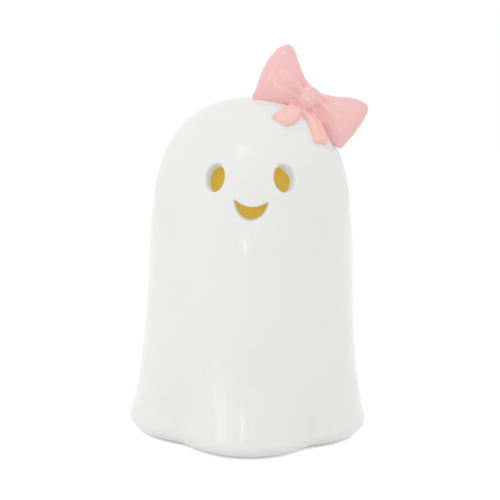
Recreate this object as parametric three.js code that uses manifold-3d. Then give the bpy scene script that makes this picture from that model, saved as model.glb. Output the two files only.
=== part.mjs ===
// A light-up ghost ornament. A hollow glazed ceramic figure with a cut-out face and a ceramic bow stands
// on five small pads, and a battery light unit plugs into the hole in its underside.
// Millimetres, +Z up, the face looks along -Y. The origin is on the table, in the middle of the footprint.
import * as THREE from "three";
import { mergeVertices } from "three/addons/utils/BufferGeometryUtils.js";
import Module from "manifold-3d";

const wasm = await Module();
wasm.setup();
const degree = Math.PI / 180;

// Driving dimensions of the ceramic body
const figureHeight = 171; // crown of the head above the underside of the hem
const bodyRadius = 54.5; // upright side of the body, before taper and flare
const bodyTaper = 0.01; // radius lost per millimetre of height
const hemFlare = 7.3; // radius gained at the hem
const hemFlareFade = 32; // height in which the flare falls to a third
const shoulderSharpness = 6.7; // exponent: the larger, the later the sides turn in
const crownRoundness = 2.15; // exponent: 2 is an ellipse over the crown
const hemRollHeight = 8.4; // height of the rounded edge under the hem
const hemRollDepth = 13.3; // how far that edge tucks in
const lobeCount = 5; // drapes round the hem
const lobeDepth = 0.058; // share of the radius that a drape stands out, and a fold sinks in
const lobeFade = 34; // height in which the drapes die away
const foldSoftness = 0.14; // 0 is a sharp fold between two drapes
const wall = 5; // ceramic wall
const ceramicFloor = 5.2; // ceramic floor round the hole
const holeRadius = 36; // hole that takes the light unit
const recessRadius = 41.5; // recess under the floor that takes the unit's flange

// Driving dimensions of the face
const eyeHalfWidth = 4.8;
const eyeHalfHeight = 6.85;
const eyeAzimuth = 20; // degrees to each side of the middle
const eyeHeight = 133.2;
const eyeTilt = 17.5; // degrees that the cut points upwards
const mouthHalfWidth = 8.2;
const mouthTopSag = 3;
const mouthDepth = 9.6;
const mouthHeight = 123.3; // height of its corners
const mouthTilt = 3;
const rimFlare = 0.5; // the glaze rounds each cut's outer edge by this much

// Driving dimensions of the bow
const bowAzimuth = 72.8; // degrees round from the face
const bowDrop = 6.4; // seat of the bow below the crown
const bowStandOff = 6.9; // middle of the knot off the head
const bowFacing = 8; // degrees that its front turns away from the face
const bowLean = 18; // degrees that its front looks up
const bowSlope = 31.6; // degrees that its long axis falls outwards
const bowReach = 28.5; // knot's middle to a loop's end
const innerLoopHalfHeight = 17.7;
const outerLoopHalfHeight = 14.4;
const loopHalfThickness = 5.6;
const loopEndRound = 3.4; // how far the rounded end of a loop runs
const loopEndCurl = 0.01; // how much the end draws in towards its corners, per millimetre squared
const loopSwellEnd = 22; // where a loop has reached its full height
const waistHalfHeight = 5.6; // loop at the knot
const waistHalfThickness = 3.6;
const waistLength = 4; // half of the knot's span, where the loops are narrow
const pleatDepth = 0.24; // share of the thickness that the pleats by the knot sink in
const pleatFade = 7; // length in which the pleats die away
const knotFullness = 3; // exponent of the knot's outline: 2 is an ellipse
const knotHalfWidth = 5.5;
const knotHalfHeight = 6.9;
const knotHalfThickness = 5.4;
const tailThickness = 2.9;
const tailCrease = 0.12; // share of the thickness that a tail's middle sinks in
const innerTail = {
  width: 9.8,
  rootShare: 1, // width at the knot, as a share of the full width
  slant: 1.6, // how far one corner of the end is ahead of the middle
  from: { azimuth: 66, drop: 4.4 }, // degrees from the face, and millimetres below the crown
  to: { azimuth: 20.5, drop: 12.4 },
};
const outerTail = {
  width: 10.6,
  rootShare: 0.8,
  slant: -0.4,
  from: { azimuth: 64, drop: 6.6 },
  to: { azimuth: 50.8, drop: 22.8 },
};
const tailEndRound = 0.16; // share of a tail's length in which its end rounds off

// Driving dimensions of what stands on the table and of the film behind the face
const padThickness = 1;
const padRadius = 4;
const filmThickness = 0.5;
const filmHalfAngle = 33;
const filmBottom = 104;
const filmTop = 143;

// Driving dimensions of the light unit, whose own zero height is its underside
const unitClearance = 2; // underside above the table
const flangeThickness = 3;
const flangeSideGap = 0.8;
const ringThickness = 1.8;
const ringHeight = 6;
const ringRibs = 3;
const ringRibDepth = 0.7;
const tubWall = 1.6;
const tubHeight = 23;
const capThickness = 1.8;
const capRimDepth = 2.5;
const capRimWall = 1.4;
const bossRadius = 3;
const bossCount = 3;
const screwRadius = 1.1;
const screwHeadRadius = 2.3;
const screwHeadHeight = 1.3;
const crossLength = 2.5;
const crossWidth = 0.5;
const crossDepth = 0.7;
const capScrewLength = 8;

// Driving dimensions of the diffuser, board and lamps
const domeRadius = 19;
const domeWall = 1.2;
const domeHeight = 19;
const domeSkirt = 5;
const collarHeight = 2.5;
const collarWall = 1.2;
const boardRadius = 13;
const boardThickness = 1.2;
const boardDrop = 2.4; // board's top below the cap
const stakeRadius = 1.8;
const stakePinRadius = 0.8;
const stakeCircle = 9.6;
const stakeHeadRadius = 1.35;
const stakeHeadHeight = 0.7;
const lampCount = 3;
const lampCircle = 6.4;
const lampRadius = 2.5;
const lampFlangeRadius = 2.9;
const lampFlangeHeight = 1;
const lampHeight = 8.6;
const lampLegSpacing = 2.54;
const lampLeg = 0.5;
const lampLegReach = 1.2; // legs below the board
const resistorLength = 3.2;
const resistorWidth = 1.6;
const resistorHeight = 0.6;

// Driving dimensions of the cells and their compartment
const cellRadius = 5.25;
const cellLength = 44.5;
const cellNubRadius = 1.9;
const cellNubLength = 1;
const cellBevel = 0.5;
const cellCount = 2;
const cellGap = 0.6;
const contactThickness = 0.4;
const contactWidth = 8.6;
const contactHeight = 7.4;
const contactBump = 1;
const contactBumpRadius = 2.2;
const contactBumpTipRadius = 1.5;
const tabWidth = 2.4;
const tabReach = 2.2; // solder tab above the compartment's roof
const springLength = 4.2;
const springTurns = 3.5;
const springWireRadius = 0.3;
const springBaseRadius = 3.3;
const springTipRadius = 2.1;
const compartmentWall = 1.4;
const compartmentSetForward = 3; // compartment's middle in front of the unit's

// Driving dimensions of the battery door
const doorThickness = 1.8;
const doorLap = 1.35; // door past the compartment's opening
const doorGap = 0.35;
const doorCorner = 1.6;
const doorEarRadius = 4;
const doorScrewLength = 5.5;
const doorScrewInset = 2.7; // screw past the compartment's end wall
const doorBossRadius = 2.7;
const doorBossHeight = 8;
const tongueWidth = 5;
const tongueReach = 2.4;
const tongueThickness = 1;
const tongueSpacing = 12;
const doorGrooveCount = 5;
const doorGrooveSpacing = 2;
const doorGrooveWidth = 1;
const doorGrooveLength = 11.5;
const doorGrooveDepth = 0.4;

// Driving dimensions of the switch
const switchSetBack = 17.8; // switch behind the unit's middle
const switchTravel = 3;
const switchLength = 9.4;
const switchWidth = 5.4;
const switchTall = 4.6;
const switchCanWall = 0.9;
const switchWellDepth = 1;
const switchWellMargin = 1.5;
const carriageLength = 3.8;
const carriageHeight = 1.6;
const stemSide = 2.4;
const knobLength = 4;
const knobWidth = 3.6;
const knobReach = 0.8; // knob below the underside
const knobGrooveCount = 3;
const knobGrooveSpacing = 1.15;
const knobGrooveWidth = 0.5;
const knobGrooveDepth = 0.35;
const pinSpacing = 2.5;
const pinReach = 2.5;
const pinWidth = 0.8;
const pinThickness = 0.4;
const wireRadius = 0.7;
const wireRise = 1; // upright end of a wire where it meets the board or a pin

// Clearances between pieces
const seatGap = 0.3; // a piece that seats on ceramic or on a curved face
const fitGap = 0.3; // moulded pieces that slip together

// How far a cutting tool runs past what it cuts, and how far joined solids bite into each other
const overrun = 1;
const bite = 0.4;

// Smoothness of the facets
const facetsPerLobe = 12;
const unitFacets = 30;
const domeFacets = 24;
const bodyFacets = lobeCount * facetsPerLobe;

// Places that follow from the sizes above
const recessTop = unitClearance + flangeThickness + seatGap - padThickness; // above the hem's underside
const floorTop = recessTop + ceramicFloor;
const tubRadius = holeRadius - seatGap - ringThickness - seatGap;
const tubInnerRadius = tubRadius - tubWall;
const flangeRadius = recessRadius - flangeSideGap;
const compartmentLength = cellLength + springLength + contactBump + 2 * contactThickness;
const compartmentWidth = cellCount * 2 * cellRadius + (cellCount + 1) * cellGap;
const cellPitch = 2 * cellRadius + cellGap;
const cellAxisHeight = doorThickness + cellGap + cellRadius;
const compartmentCeiling = cellAxisHeight + cellRadius + cellGap;
const compartmentRoof = compartmentCeiling + compartmentWall;
const endWall = compartmentLength / 2;
const capTop = tubHeight + capThickness;
const boardTop = tubHeight - boardDrop;
const boardBottom = boardTop - boardThickness;
const bossCircle = tubInnerRadius - bossRadius + fitGap;
const doorHalfLength = endWall + doorLap;
const doorHalfWidth = compartmentWidth / 2 + doorLap;
const doorScrewX = endWall + compartmentWall + doorScrewInset;
const rebateDepth = doorThickness + fitGap;

// Solids from meshes, and back
function solidOf(geometry) {
  const bare = geometry.index ? geometry.toNonIndexed() : geometry.clone();
  bare.deleteAttribute("normal");
  bare.deleteAttribute("uv");
  const merged = mergeVertices(bare, 1e-4);
  return new wasm.Manifold(
    new wasm.Mesh({
      numProp: 3,
      vertProperties: merged.attributes.position.array,
      triVerts: new Uint32Array(merged.index.array),
    }),
  );
}

function geometryOf(solid) {
  const mesh = solid.getMesh();
  const geometry = new THREE.BufferGeometry();
  geometry.setAttribute("position", new THREE.BufferAttribute(mesh.vertProperties, 3));
  geometry.setIndex(new THREE.BufferAttribute(mesh.triVerts, 1));
  const flat = geometry.toNonIndexed();
  flat.computeVertexNormals();
  return flat;
}

const joined = (first, ...others) => others.reduce((all, other) => all.add(other), first);
const carved = (first, ...others) => others.reduce((left, other) => left.subtract(other), first);

// A box between two corners, given in any order.
function block(x0, x1, y0, y1, z0, z1) {
  const box = new THREE.BoxGeometry(Math.abs(x1 - x0), Math.abs(y1 - y0), Math.abs(z1 - z0));
  return solidOf(box.translate((x0 + x1) / 2, (y0 + y1) / 2, (z0 + z1) / 2));
}

// An upright cylinder between two heights.
function post(x, y, radius, z0, z1, facets = 12) {
  const cylinder = new THREE.CylinderGeometry(radius, radius, z1 - z0, facets).rotateX(Math.PI / 2);
  return solidOf(cylinder.translate(x, y, (z0 + z1) / 2));
}

// A solid turned about +Z from [radius, height] pairs, whichever way round they are listed.
function turned(profile, facets) {
  const spin = (points) => solidOf(new THREE.LatheGeometry(points, facets).rotateX(Math.PI / 2));
  const points = profile.map(([radius, height]) => new THREE.Vector2(radius, height));
  const solid = spin(points);
  return solid.volume() > 0 ? solid : spin(points.reverse());
}

// A closed skin over rings of points. The first and last ring are each closed by a fan from its middle.
function skinned(rings) {
  const count = rings[0].length;
  const positions = [];
  const index = [];
  rings.forEach((ring) => ring.forEach((p) => positions.push(p.x, p.y, p.z)));
  for (let r = 0; r + 1 < rings.length; r++) {
    for (let k = 0; k < count; k++) {
      const next = (k + 1) % count;
      const [a, b, c, d] = [r * count + k, r * count + next, (r + 1) * count + k, (r + 1) * count + next];
      index.push(a, c, b, b, c, d);
    }
  }
  [0, rings.length - 1].forEach((r) => {
    const middle = rings[r].reduce((sum, p) => sum.add(p), new THREE.Vector3()).divideScalar(count);
    const hub = positions.length / 3;
    positions.push(middle.x, middle.y, middle.z);
    for (let k = 0; k < count; k++) {
      const next = (k + 1) % count;
      const [a, b] = [r * count + k, r * count + next];
      index.push(...(r === 0 ? [hub, a, b] : [hub, b, a]));
    }
  });
  const geometry = new THREE.BufferGeometry();
  geometry.setAttribute("position", new THREE.Float32BufferAttribute(positions, 3));
  geometry.setIndex(index);
  const solid = solidOf(geometry);
  if (solid.volume() > 0) return solid;
  geometry.setIndex(index.reverse());
  return solidOf(geometry);
}

const counted = (count) => Array.from({ length: count }, (_, number) => number);
const stations = (count, place) => Array.from({ length: count + 1 }, (_, i) => place(i / count));
const around = (count, place) => Array.from({ length: count }, (_, i) => place((i / count) * 2 * Math.PI));

// The body's surface. Heights are above the hem's underside, azimuths go from the face towards +X, and
// an inset moves the surface inwards.
function bodyRadiusAt(height, inset = 0) {
  const side = bodyRadius - inset - bodyTaper * height + hemFlare * Math.exp(-height / hemFlareFade);
  const share = Math.max(height, 0) / (figureHeight - inset);
  const crown = Math.max(1 - share ** shoulderSharpness, 0) ** (1 / crownRoundness);
  const below = Math.min(Math.max(1 - height / hemRollHeight, 0), 1);
  return side * crown - hemRollDepth * (1 - Math.sqrt(1 - below * below));
}

// 1 in the middle of a drape and -1 in the fold between two: a rounded |cos|.
function drapeWave(azimuth) {
  const swing = Math.cos((azimuth * lobeCount) / 2);
  const rounded = Math.hypot(swing, foldSoftness) - foldSoftness;
  return (2 * rounded) / (Math.hypot(1, foldSoftness) - foldSoftness) - 1;
}

function bodyPoint(azimuth, height, inset = 0) {
  const drape = lobeDepth * Math.exp(-((height / lobeFade) ** 1.5)) * drapeWave(azimuth);
  const radius = bodyRadiusAt(height, inset) * (1 + drape);
  return new THREE.Vector3(radius * Math.sin(azimuth), -radius * Math.cos(azimuth), height);
}

// Outward normal, from the slopes of the surface in both directions.
function bodyNormal(azimuth, height) {
  const step = 0.05;
  const up = bodyPoint(azimuth, height + step).sub(bodyPoint(azimuth, height - step));
  const round = bodyPoint(azimuth + step * degree, height).sub(bodyPoint(azimuth - step * degree, height));
  return round.cross(up).normalize();
}

const bodyRing = (height, inset) => around(bodyFacets, (azimuth) => bodyPoint(azimuth, height, inset));
const plainRing = (radius, height) =>
  around(bodyFacets, (azimuth) => {
    return new THREE.Vector3(radius * Math.sin(azimuth), -radius * Math.cos(azimuth), height);
  });

// Heights from the crown down to a shoulder, closest together at the crown.
const crownShare = 0.64;
const crownHeights = (count, inset) => {
  const top = figureHeight - inset;
  return stations(count, (t) => top - top * (1 - crownShare) * t * t);
};
const sideHeights = (count, inset, bottom) => {
  const shoulder = (figureHeight - inset) * crownShare;
  return stations(count, (t) => shoulder + (bottom - shoulder) * t).slice(1);
};
const rollHeights = (count) =>
  stations(count, (t) => hemRollHeight * (1 - Math.sin((t * Math.PI) / 2))).slice(1);

function outerRings(inset = 0) {
  const heights = [...crownHeights(9, inset), ...sideHeights(6, inset, hemRollHeight), ...rollHeights(4)];
  return heights.slice(1).map((height) => bodyRing(height, inset));
}

// Upright outline of a cut as points in its own plane: x to the side and y upwards.
const eyeOutline = () =>
  around(20, (turn) => new THREE.Vector2(eyeHalfWidth * Math.cos(turn), eyeHalfHeight * Math.sin(turn)));

// Half an ellipse below the corners, and a flatter curve between them on top.
function mouthOutline() {
  const lower = stations(12, (t) => {
    const turn = Math.PI * (1 + t);
    return new THREE.Vector2(mouthHalfWidth * Math.cos(turn), mouthDepth * Math.sin(turn));
  });
  const upper = stations(8, (t) => {
    const across = 1 - 2 * t;
    return new THREE.Vector2(mouthHalfWidth * across, -mouthTopSag * (1 - across * across));
  });
  return [...lower, ...upper.slice(1, -1)];
}

// The outline grown outwards by a distance, each point along its own normal.
function grown(outline, distance) {
  return outline.map((p, i) => {
    const before = outline[(i + outline.length - 1) % outline.length];
    const after = outline[(i + 1) % outline.length];
    const along = after.clone().sub(before).normalize();
    return new THREE.Vector2(p.x + along.y * distance, p.y - along.x * distance);
  });
}

// The tool that cuts one opening of the face: straight through the wall, and flared at the outer surface.
function faceCutter(outline, azimuth, height, tilt) {
  const seat = bodyPoint(azimuth, height);
  const side = new THREE.Vector3(Math.cos(azimuth), Math.sin(azimuth), 0);
  const out = new THREE.Vector3(Math.sin(azimuth), -Math.cos(azimuth), 0);
  out.multiplyScalar(Math.cos(tilt)).setZ(Math.sin(tilt));
  const up = side.clone().cross(out).negate();
  const ring = (depth, growth) =>
    grown(outline, growth).map((p) =>
      seat.clone().addScaledVector(side, p.x).addScaledVector(up, p.y).addScaledVector(out, depth),
    );
  return skinned([
    ring(-2 * wall - overrun, 0),
    ring(-1.4 * rimFlare, 0),
    ring(0.2 * rimFlare, rimFlare),
    ring(wall, 2 * rimFlare),
  ]);
}

function faceCutters() {
  const eyes = [-1, 1].map((side) =>
    faceCutter(eyeOutline(), side * eyeAzimuth * degree, eyeHeight, eyeTilt * degree),
  );
  return [...eyes, faceCutter(mouthOutline(), 0, mouthHeight, mouthTilt * degree)];
}

// The hollow's surface, from the crown down to the floor.
function innerRings(inset) {
  const heights = [...crownHeights(6, inset), ...sideHeights(3, inset, floorTop)];
  return heights.slice(1).map((height) => bodyRing(height, inset));
}

// Crown, side and rolled hem outside; recess and hole underneath; floor, side and crown inside.
function ghostShell() {
  const rings = [
    ...outerRings(),
    plainRing(recessRadius, 0),
    plainRing(recessRadius, recessTop),
    plainRing(holeRadius, recessTop),
    plainRing(holeRadius, floorTop),
    ...innerRings(wall).reverse(),
  ];
  return carved(skinned(rings), ...faceCutters());
}

// The solid that fills the body's outer surface, grown by the seat gap, for cutting what sits on it.
const bodyEnvelope = () => skinned(outerRings(-seatGap));

// The bow's own frame: u along it and down the shoulder, w up across it, n out of its front.
function bowFrame() {
  const seatHeight = figureHeight - bowDrop;
  const azimuth = bowAzimuth * degree;
  const middle = bodyPoint(azimuth, seatHeight).addScaledVector(bodyNormal(azimuth, seatHeight), bowStandOff);
  const front = new THREE.Vector3(
    Math.sin(bowFacing * degree) * Math.cos(bowLean * degree),
    -Math.cos(bowFacing * degree) * Math.cos(bowLean * degree),
    Math.sin(bowLean * degree),
  );
  const level = new THREE.Vector3(Math.cos(bowFacing * degree), Math.sin(bowFacing * degree), 0);
  const along = level.applyAxisAngle(front, -bowSlope * degree);
  const across = front.clone().cross(along);
  return new THREE.Matrix4().makeBasis(along, across, front).setPosition(middle);
}

const smooth = (share) => share * share * (3 - 2 * share);

// Fuller than an ellipse, for sections like a pressed pillow.
const full = (x) => Math.sign(x) * Math.abs(x) ** 0.75;

// A loop of the bow: narrow at the knot, swelling to its full height, pleated by the knot, and with a
// rounded end whose corners draw in.
function bowLoop(side, halfHeight) {
  const swellTo = (from, to, reach) => {
    const share = Math.min(Math.max((reach - waistLength) / (loopSwellEnd - waistLength), 0), 1);
    return from + ((to - from) * (smooth(share) + share)) / 2;
  };
  const endRound = (reach, power) => {
    const into = Math.max(reach - (bowReach - loopEndRound), 0) / loopEndRound;
    return Math.max(1 - into ** power, 0) ** (1 / power);
  };
  const section = (reach) => {
    const tall = swellTo(waistHalfHeight, halfHeight, reach) * endRound(reach, 2.5);
    const thick = swellTo(waistHalfThickness, loopHalfThickness, reach) * endRound(reach, 2);
    const pleat = pleatDepth * Math.exp(-Math.max(reach - knotHalfWidth, 0) / pleatFade);
    const curl = (loopEndCurl * Math.max(reach - waistLength, 0)) / (bowReach - waistLength);
    return around(16, (turn) => {
      const across = tall * Math.cos(turn);
      const ripple = 1 - pleat * (1 + Math.cos(2.5 * Math.PI * Math.cos(turn)));
      const along = side * (reach - curl * across ** 2);
      return new THREE.Vector3(along, across, thick * ripple * full(Math.sin(turn)));
    });
  };
  const straight = bowReach - loopEndRound;
  const rounding = stations(4, (t) => straight + loopEndRound * Math.sin((t * Math.PI * 0.97) / 2)).slice(1);
  return skinned([...stations(6, (t) => t * straight), ...rounding].map(section));
}

// The knot: a band round the middle, its ends rounded off.
function bowKnot() {
  const rings = stations(8, (t) => {
    const rise = -Math.cos(Math.PI * t) * 0.995;
    const girth = (1 - Math.abs(rise) ** knotFullness) ** (1 / knotFullness);
    return around(16, (turn) => {
      const across = knotHalfWidth * girth * full(Math.cos(turn));
      const ahead = knotHalfThickness * girth * full(Math.sin(turn));
      return new THREE.Vector3(across, knotHalfHeight * rise, ahead);
    });
  });
  return skinned(rings);
}

// A tail of the bow: a creased ribbon that runs down the head and ends in a slanted, rounded edge.
function bowTail({ width, rootShare, slant, from, to }) {
  const place = (t) => {
    const azimuth = (from.azimuth + (to.azimuth - from.azimuth) * t) * degree;
    return [azimuth, figureHeight - from.drop - (to.drop - from.drop) * t ** 1.25];
  };
  const rings = stations(8, (t) => {
    const here = bodyPoint(...place(t));
    const normal = bodyNormal(...place(t));
    const forward = bodyPoint(...place(t + 0.01)).sub(here).normalize();
    const across = forward.clone().cross(normal).normalize();
    const fullness = rootShare + (1 - rootShare) * smooth(Math.min(1.4 * t, 1));
    const into = Math.max(t - (1 - tailEndRound), 0) / tailEndRound;
    const end = Math.sqrt(1 - 0.99 * into ** 2);
    return around(12, (turn) => {
      const aside = full(Math.cos(turn));
      const crease = 1 - tailCrease * Math.exp(-((aside / 0.4) ** 2));
      const rise = full(Math.sin(turn)) * (Math.sin(turn) > 0 ? crease : 1);
      return here
        .clone()
        .addScaledVector(across, aside * (width / 2) * fullness * (0.6 + 0.4 * end))
        .addScaledVector(normal, rise * tailThickness * (0.5 + 0.5 * end))
        .addScaledVector(forward, aside * slant * t * t);
    });
  });
  return skinned(rings);
}

function bow() {
  const frame = bowFrame();
  const place = (solid) => solidOf(geometryOf(solid).applyMatrix4(frame));
  const loops = [bowLoop(-1, innerLoopHalfHeight), bowLoop(1, outerLoopHalfHeight), bowKnot()].map(place);
  return carved(joined(...loops, bowTail(innerTail), bowTail(outerTail)), bodyEnvelope());
}

// A sheet that follows the inside of the body behind the face: a slice of a thin skin.
function faceFilm() {
  const near = wall + seatGap;
  const edge = (side) => {
    const turn = side * filmHalfAngle * degree;
    return new THREE.Vector2(2 * bodyRadius * Math.sin(turn), -2 * bodyRadius * Math.cos(turn));
  };
  const wedge = new THREE.Shape([new THREE.Vector2(0, 0), edge(-1), edge(1)]);
  const slice = new THREE.ExtrudeGeometry(wedge, { depth: filmTop - filmBottom, bevelEnabled: false });
  const skin = carved(skinned(innerRings(near)), skinned(innerRings(near + filmThickness)));
  return skin.intersect(solidOf(slice.translate(0, 0, filmBottom)));
}

// Round pad under the middle of a drape.
function footPad(number) {
  const azimuth = (number / lobeCount) * 2 * Math.PI;
  const edge = Math.hypot(bodyPoint(azimuth, 0).x, bodyPoint(azimuth, 0).y);
  const reach = (recessRadius + edge) / 2;
  return post(reach * Math.sin(azimuth), -reach * Math.cos(azimuth), padRadius, -padThickness, 0, 14);
}

// Where the light unit's bosses, lamps and stakes stand: evenly round, from a first angle.
const circled = (count, radius, first) =>
  around(count, (turn) => [radius * Math.cos(turn + first), radius * Math.sin(turn + first)]);
const bossPlaces = circled(bossCount, bossCircle, -Math.PI / 2);
const lampPlaces = circled(lampCount, lampCircle, Math.PI / 2);
const stakePlaces = circled(lampCount, stakeCircle, Math.PI / 2 + Math.PI / lampCount);
const capScrewTip = capTop - capScrewLength;

// Places in the compartment. Cells alternate, so each end has a spring and a plain contact in turn.
const cellNumbers = counted(cellCount);
const cellY = (number) => -compartmentSetForward + (number - (cellCount - 1) / 2) * cellPitch;
const tonguePlaces = [-1, 1].map((side) => -compartmentSetForward + (side * tongueSpacing) / 2);
const tongueBottom = rebateDepth + fitGap;
const tongueTop = tongueBottom + tongueThickness;

// The door swings about the lower edge of its rebate, and the tongues' tips sweep this far from it.
const tongueSweep = Math.hypot(tongueReach - doorGap, tongueTop);

// Outline of the battery door and of its rebate: a rounded rectangle with an ear for the screw.
function doorOutline(growth) {
  const [halfLength, halfWidth] = [doorHalfLength + growth, doorHalfWidth + growth];
  const corner = doorCorner + growth;
  const shape = new THREE.Shape();
  shape.moveTo(-halfLength + corner, -halfWidth);
  shape.lineTo(halfLength - corner, -halfWidth);
  shape.absarc(halfLength - corner, -halfWidth + corner, corner, -Math.PI / 2, 0, false);
  shape.lineTo(halfLength, halfWidth - corner);
  shape.absarc(halfLength - corner, halfWidth - corner, corner, 0, Math.PI / 2, false);
  shape.lineTo(-halfLength + corner, halfWidth);
  shape.absarc(-halfLength + corner, halfWidth - corner, corner, Math.PI / 2, Math.PI, false);
  shape.lineTo(-halfLength, -halfWidth + corner);
  shape.absarc(-halfLength + corner, -halfWidth + corner, corner, Math.PI, Math.PI * 1.5, false);
  return shape;
}

function doorPlate(growth, z0, z1) {
  const plate = new THREE.ExtrudeGeometry(doorOutline(growth), {
    depth: z1 - z0,
    bevelEnabled: false,
    curveSegments: 4,
  });
  const flat = solidOf(plate.translate(0, -compartmentSetForward, z0));
  return joined(flat, post(doorScrewX, -compartmentSetForward, doorEarRadius + growth, z0, z1));
}

// A box centred on the switch, between two heights.
function atSwitch(x, length, width, z0, z1) {
  const [halfLength, halfWidth] = [length / 2, width / 2];
  return block(x - halfLength, x + halfLength, switchSetBack - halfWidth, switchSetBack + halfWidth, z0, z1);
}

// Flange, tub, battery compartment and bosses in one moulding.
function baseHousing() {
  const middle = -compartmentSetForward;
  const [halfLength, halfWidth] = [endWall, compartmentWidth / 2];
  const solid = joined(
    post(0, 0, flangeRadius, 0, flangeThickness, 44),
    carved(
      post(0, 0, tubRadius, 0, tubHeight, unitFacets),
      post(0, 0, tubInnerRadius, flangeThickness, tubHeight + overrun, unitFacets),
    ),
    block(
      -halfLength - compartmentWall,
      halfLength + compartmentWall,
      middle - halfWidth - compartmentWall,
      middle + halfWidth + compartmentWall,
      0,
      compartmentRoof,
    ),
    ...bossPlaces.map(([x, y]) => post(x, y, bossRadius, 0, tubHeight)),
    post(doorScrewX, middle, doorBossRadius, 0, doorBossHeight),
    ...[-1, 1].map((side) => {
      const aside = side * (switchLength / 2 + fitGap + compartmentWall / 2);
      return atSwitch(aside, compartmentWall, switchWidth, 0, flangeThickness + switchTall);
    }),
  );
  const slotWidth = stemSide + 2 * fitGap;
  const wellWidth = knobWidth + 2 * switchWellMargin;
  const wellLength = switchTravel + knobLength + 2 * switchWellMargin;
  const tabHalf = tabWidth / 2 + fitGap;
  return carved(
    solid,
    block(-halfLength, halfLength, middle - halfWidth, middle + halfWidth, -overrun, compartmentCeiling),
    doorPlate(doorGap, -overrun, rebateDepth),
    ...tonguePlaces.map((y) =>
      block(
        -doorHalfLength - tongueReach - fitGap,
        -halfLength,
        y - tongueWidth / 2 - doorGap,
        y + tongueWidth / 2 + doorGap,
        rebateDepth,
        tongueSweep + fitGap,
      ),
    ),
    ...bossPlaces.map(([x, y]) =>
      post(x, y, screwRadius + fitGap, capScrewTip - fitGap, tubHeight + overrun),
    ),
    post(doorScrewX, middle, screwRadius + fitGap, -overrun, doorScrewLength + fitGap),
    atSwitch(0, switchTravel + slotWidth, slotWidth, -overrun, flangeThickness + overrun),
    atSwitch(0, wellLength, wellWidth, -overrun, switchWellDepth),
    ...cellNumbers.map((number) =>
      block(
        halfLength - contactThickness - fitGap,
        halfLength,
        cellY(number) - tabHalf,
        cellY(number) + tabHalf,
        compartmentCeiling - overrun,
        compartmentRoof + overrun,
      ),
    ),
  );
}

// Cover of the tub, with the diffuser's collar on top and the stakes that hold the board below.
function topCap() {
  const rimOuter = tubInnerRadius - fitGap;
  const rimBottom = tubHeight - capRimDepth;
  const rim = carved(
    post(0, 0, rimOuter, rimBottom, tubHeight, unitFacets),
    post(0, 0, rimOuter - capRimWall, rimBottom - overrun, tubHeight + overrun, unitFacets),
    ...bossPlaces.map(([x, y]) => post(x, y, bossRadius + fitGap, rimBottom - overrun, tubHeight)),
  );
  const collarInner = domeRadius + fitGap;
  const collarTop = capTop + collarHeight;
  const collar = carved(
    post(0, 0, collarInner + collarWall, tubHeight, collarTop, domeFacets),
    post(0, 0, collarInner, capTop, collarTop + overrun, domeFacets),
  );
  const headTop = boardBottom - seatGap;
  const headBottom = headTop - stakeHeadHeight;
  const stakes = stakePlaces.flatMap(([x, y]) => [
    post(x, y, stakeRadius, boardTop, tubHeight + bite, 8),
    post(x, y, stakePinRadius, headBottom, boardTop + bite, 8),
    post(x, y, stakeHeadRadius, headBottom, headTop, 8),
  ]);
  const plate = post(0, 0, tubRadius, tubHeight, capTop, unitFacets);
  const through = ([x, y], radius) => post(x, y, radius + fitGap, tubHeight - overrun, capTop + overrun);
  return carved(
    joined(plate, rim, collar, ...stakes),
    ...lampPlaces.map((place) => through(place, lampRadius)),
    ...bossPlaces.map((place) => through(place, screwRadius)),
  );
}

// Frosted dome over the lamps: a straight skirt and a rounded crown of one wall.
function diffuserDome() {
  const springing = capTop + domeSkirt;
  const arc = (radius, height) =>
    stations(6, (t) => {
      const turn = (t * Math.PI) / 2;
      const out = t === 1 ? 0 : radius * Math.cos(turn);
      return [out, springing + (height - domeSkirt) * Math.sin(turn)];
    });
  const inner = domeRadius - domeWall;
  const profile = [
    ...arc(inner, domeHeight - domeWall).reverse(),
    [inner, capTop],
    [domeRadius, capTop],
    ...arc(domeRadius, domeHeight),
  ];
  return turned(profile, domeFacets);
}

// Soft ring round the tub, whose ribs grip the ceramic hole.
function gripRing() {
  const inner = tubRadius + seatGap;
  const outer = inner + ringThickness;
  const base = flangeThickness;
  const pitch = ringHeight / ringRibs;
  const ribs = counted(ringRibs).flatMap((number) => [
    [outer - ringRibDepth, base + pitch * (number + 0.1)],
    [outer, base + pitch * (number + 0.5)],
    [outer - ringRibDepth, base + pitch * (number + 0.9)],
  ]);
  return turned([[inner, base], ...ribs, [inner, base + ringHeight], [inner, base]], unitFacets);
}

// Cross-headed screw. Its head sits above the given seat and its shank below it, or the other way round.
function screw(x, y, seat, length, headUp) {
  const height = (above) => seat + (headUp ? above : -above);
  const profile = [
    [0, height(-length)],
    [screwRadius, height(-length)],
    [screwRadius, height(0)],
    [screwHeadRadius, height(0)],
    [screwHeadRadius, height(screwHeadHeight / 2)],
    [screwHeadRadius * 0.8, height(screwHeadHeight)],
    [0, height(screwHeadHeight)],
  ];
  const [half, halfAcross] = [crossLength / 2, crossWidth / 2];
  const [crossBottom, crossTop] = [height(screwHeadHeight - crossDepth), height(screwHeadHeight + overrun)];
  const cross = joined(
    block(-half, half, -halfAcross, halfAcross, crossBottom, crossTop),
    block(-halfAcross, halfAcross, -half, half, crossBottom, crossTop),
  );
  return carved(turned(profile, 12), cross).translate([x, y, 0]);
}

const legPlaces = lampPlaces.flatMap(([x, y]) => [-1, 1].map((side) => [x + (side * lampLegSpacing) / 2, y]));

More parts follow.
